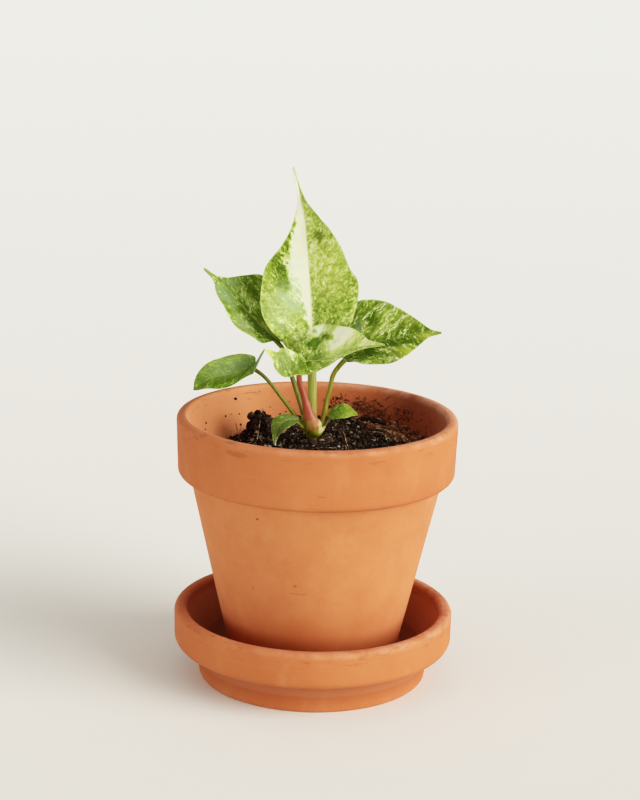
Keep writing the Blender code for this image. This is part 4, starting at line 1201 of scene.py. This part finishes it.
STALKS = {
    "stalk_tall": (
        [(-2.9, 3.6, 142.8, 2.0), (-2.8, 4.4, 148, 2.3), (-3.2, 5.2, 157, 2.5), (-3.6, 5.8, 168, 2.5),
         (-3.9, 6.2, 177, 2.4)],
        2.1, [(0, (160, 140, 80)), (0.3, (140, 140, 62)), (0.7, (140, 144, 64)), (1, (160, 162, 80))]),
    "stalk_left": (
        [(-6.5, 1.6, 142.8, 1.3), (-8.6, 4, 151, 1.45), (-11.8, 6, 160.7, 1.45), (-14.8, 7, 169.5, 1.4),
         (-17.4, 8, 178.5, 1.35), (-20.6, 9.5, 184.8, 1.3)],
        1.3, [(0, (96, 84, 20)), (0.4, (98, 98, 14)), (1, (100, 108, 18))]),
    "stalk_right": (
        [(0.8, 1.2, 140.2, 1.4), (2.7, 2.4, 145, 1.6), (4.3, 3.6, 154, 1.35), (6.3, 5, 163, 1.3),
         (8.5, 6.3, 172, 1.35)],
        1.4, [(0, (150, 140, 70)), (0.2, (120, 112, 26)), (0.5, (116, 112, 20)), (1, (130, 130, 32))]),
    "stalk_front": (
        [(-1.3, -2.7, 141.4, 2.6), (-2.5, -3, 144.3, 4.0), (-4.0, -3.2, 148.2, 3.6),
         (-5.7, -3.3, 153.5, 2.6), (-8.0, -3.5, 161.5, 1.75), (-10.6, -4, 170, 1.6),
         (-9.8, -5.2, 176, 1.6)],
        1.6, [(0, (176, 150, 98)), (0.12, (150, 84, 52)), (0.3, (142, 64, 42)), (0.65, (138, 62, 40)),
              (0.85, (150, 88, 50)), (1, (160, 122, 64))]),
    "stalk_small": (
        [(-7.6, -1.5, 142.8, 1.2), (-10.2, -1.3, 146, 1.25), (-14.8, -2, 152.5, 1.15),
         (-20.4, -3, 160, 1.05), (-26, -4, 167.4, 1.0), (-31, -4.6, 172.7, 1.05)],
        1.1, [(0, (98, 90, 18)), (0.4, (96, 98, 8)), (1, (102, 106, 14))]),
    "stalk_low_left": (
        [(-6.6, -3.4, 141.8, 0.7), (-9, -4.8, 144.3, 0.7)],
        0.7, [(0, (98, 90, 30)), (1, (100, 108, 40))]),
    "stalk_low_right": (
        [(0.9, -1.6, 138.8, 0.8), (3.2, -1, 142, 0.75), (5, 0, 145, 0.7)],
        0.7, [(0, (96, 80, 34)), (1, (96, 100, 36))]),
}

# The crown's course (x from its axis, z, radius) up to where its sheaths part
CROWN_COURSE = [
    (0, 120, 3.1), (0, 124, 3.2), (0, 137.3, 3.2), (-0.1, 139.5, 4.0), (-0.4, 142, 4.6), (-0.6, 143.4, 4.2),
]
STALK_STEPS = 46
SHEATH_STEPS = 80
SHEATH_LENGTH = 6.0
SHEATH_FIT = 1.03
SHEATH_SWELL = 0.45
SHEATH_FOOT = (CROWN_X, 0, 138, 2.4)
CROWN_VOXEL = 0.35


def stalk_course(name, steps):
    """The stalk's course, which ends by running into the midrib on the leaf's underside."""
    path, top, _ = STALKS[name]
    blade = Blade(LEAVES[name.replace("stalk", "leaf")])
    end, normal = blade.stalk_end(top)
    depth = BLADE_THICKNESS / 2 + 0.5 * RIB_THICKNESS + 0.35 * top
    runout = blade.on_rib(1 + 3 * top) - normal * depth
    return evenly_through(path + [(*end, top), (*runout, 0.45 * top)], steps)[0]


def stalk_finish(name, colours, foot, top):
    skin = Finish(name, Roughness=0.45, Specular=0.28)
    place = skin.place()
    _, _, z = skin.parts(place)
    streak = skin.noise(place, (900, 900, 60), 3, 0.6)
    height = (z - foot * MM) / ((top - foot) * MM)
    colour = skin.layered(
        skin.ramp((height + (streak - 0.5) * 0.15).clipped(), colours),
        (streak.eased(0.55, 0.8) * 0.15, (204, 204, 130)),
        (streak.eased(0.48, 0.3) * 0.5, (74, 66, 14)))
    return skin.finished(colour, 0.32 + streak * 0.16, streak, 0.12)


def make_stalks():
    for name, (_, _, colours) in STALKS.items():
        course = stalk_course(name, STALK_STEPS)
        piece = drawn_tubes(name + "_stem", [round_ended(course)], 6)
        smoothed(piece, 60)
        skin = stalk_finish(name + "_fibres", colours, course[:, 2].min(), course[:, 2].max())
        dressed(piece, skin, name + "_skin", name)


def crown_finish():
    """Green with paler streaks, pink at the front sheath, cream at its right, and earth up to its foot."""
    skin = Finish("crown_sheaths_skin", Roughness=0.45, Specular=0.35)
    place = skin.place()
    x, y, z = skin.parts(place)
    streak = skin.noise(place, (800, 800, 90), 3, 0.6)
    front = y.eased_mm(1, -2)
    crumbs = skin.noise(place, (1500, 1500, 1500), 3, 0.7)
    height = z / MM + (crumbs - 0.5) * 5 + x / MM * 0.2
    colour = skin.layered(
        skin.ramp(streak, [(0.3, (100, 100, 18)), (0.55, (134, 132, 34)), (0.8, (166, 160, 74))]),
        (x.eased_mm(-5.5, -3.5) * z.eased_mm(141, 145) * front * 0.8, (150, 78, 48)),
        (x.eased_mm(0, 1.6) * z.eased_mm(139.6, 141) * front * 0.6, (206, 198, 132)),
        (height.eased(138.6, 135.4) * 0.85, (46, 34, 18)))
    return skin.finished(colour, None, streak, 0.2)


def make_crown():
    """The short stem and the sheath round the foot of every stalk, grown into one."""
    stem = [(CROWN_X + x, 0, z, radius) for x, z, radius in CROWN_COURSE]
    courses = [evenly_through(stem, 24)[0]]
    for name in STALKS:
        course = stalk_course(name, SHEATH_STEPS)
        course = course[course[:, 2] < course[0, 2] + SHEATH_LENGTH][:SHEATH_STEPS // 2]
        fade = np.linspace(1, 0, len(course))
        course[:, 3] = course[:, 3] * (SHEATH_FIT + SHEATH_SWELL * fade)
        points = np.vstack([SHEATH_FOOT, course[:: max(1, len(course) // 4)], course[-1:]])
        courses.append(evenly_through(points, 20)[0])
    crown = drawn_tubes("crown_sheaths", [round_ended(course) for course in courses], 5)
    applied(crown, "REMESH", mode="VOXEL", voxel_size=CROWN_VOXEL * MM)
    applied(crown, "SMOOTH", iterations=6, factor=0.6)
    smoothed(crown, 80)
    dressed(crown, crown_finish(), "crown_green", "crown")


set_camera()
set_studio()
make_clay()
make_soil()
make_leaves()
make_stalks()
make_crown()
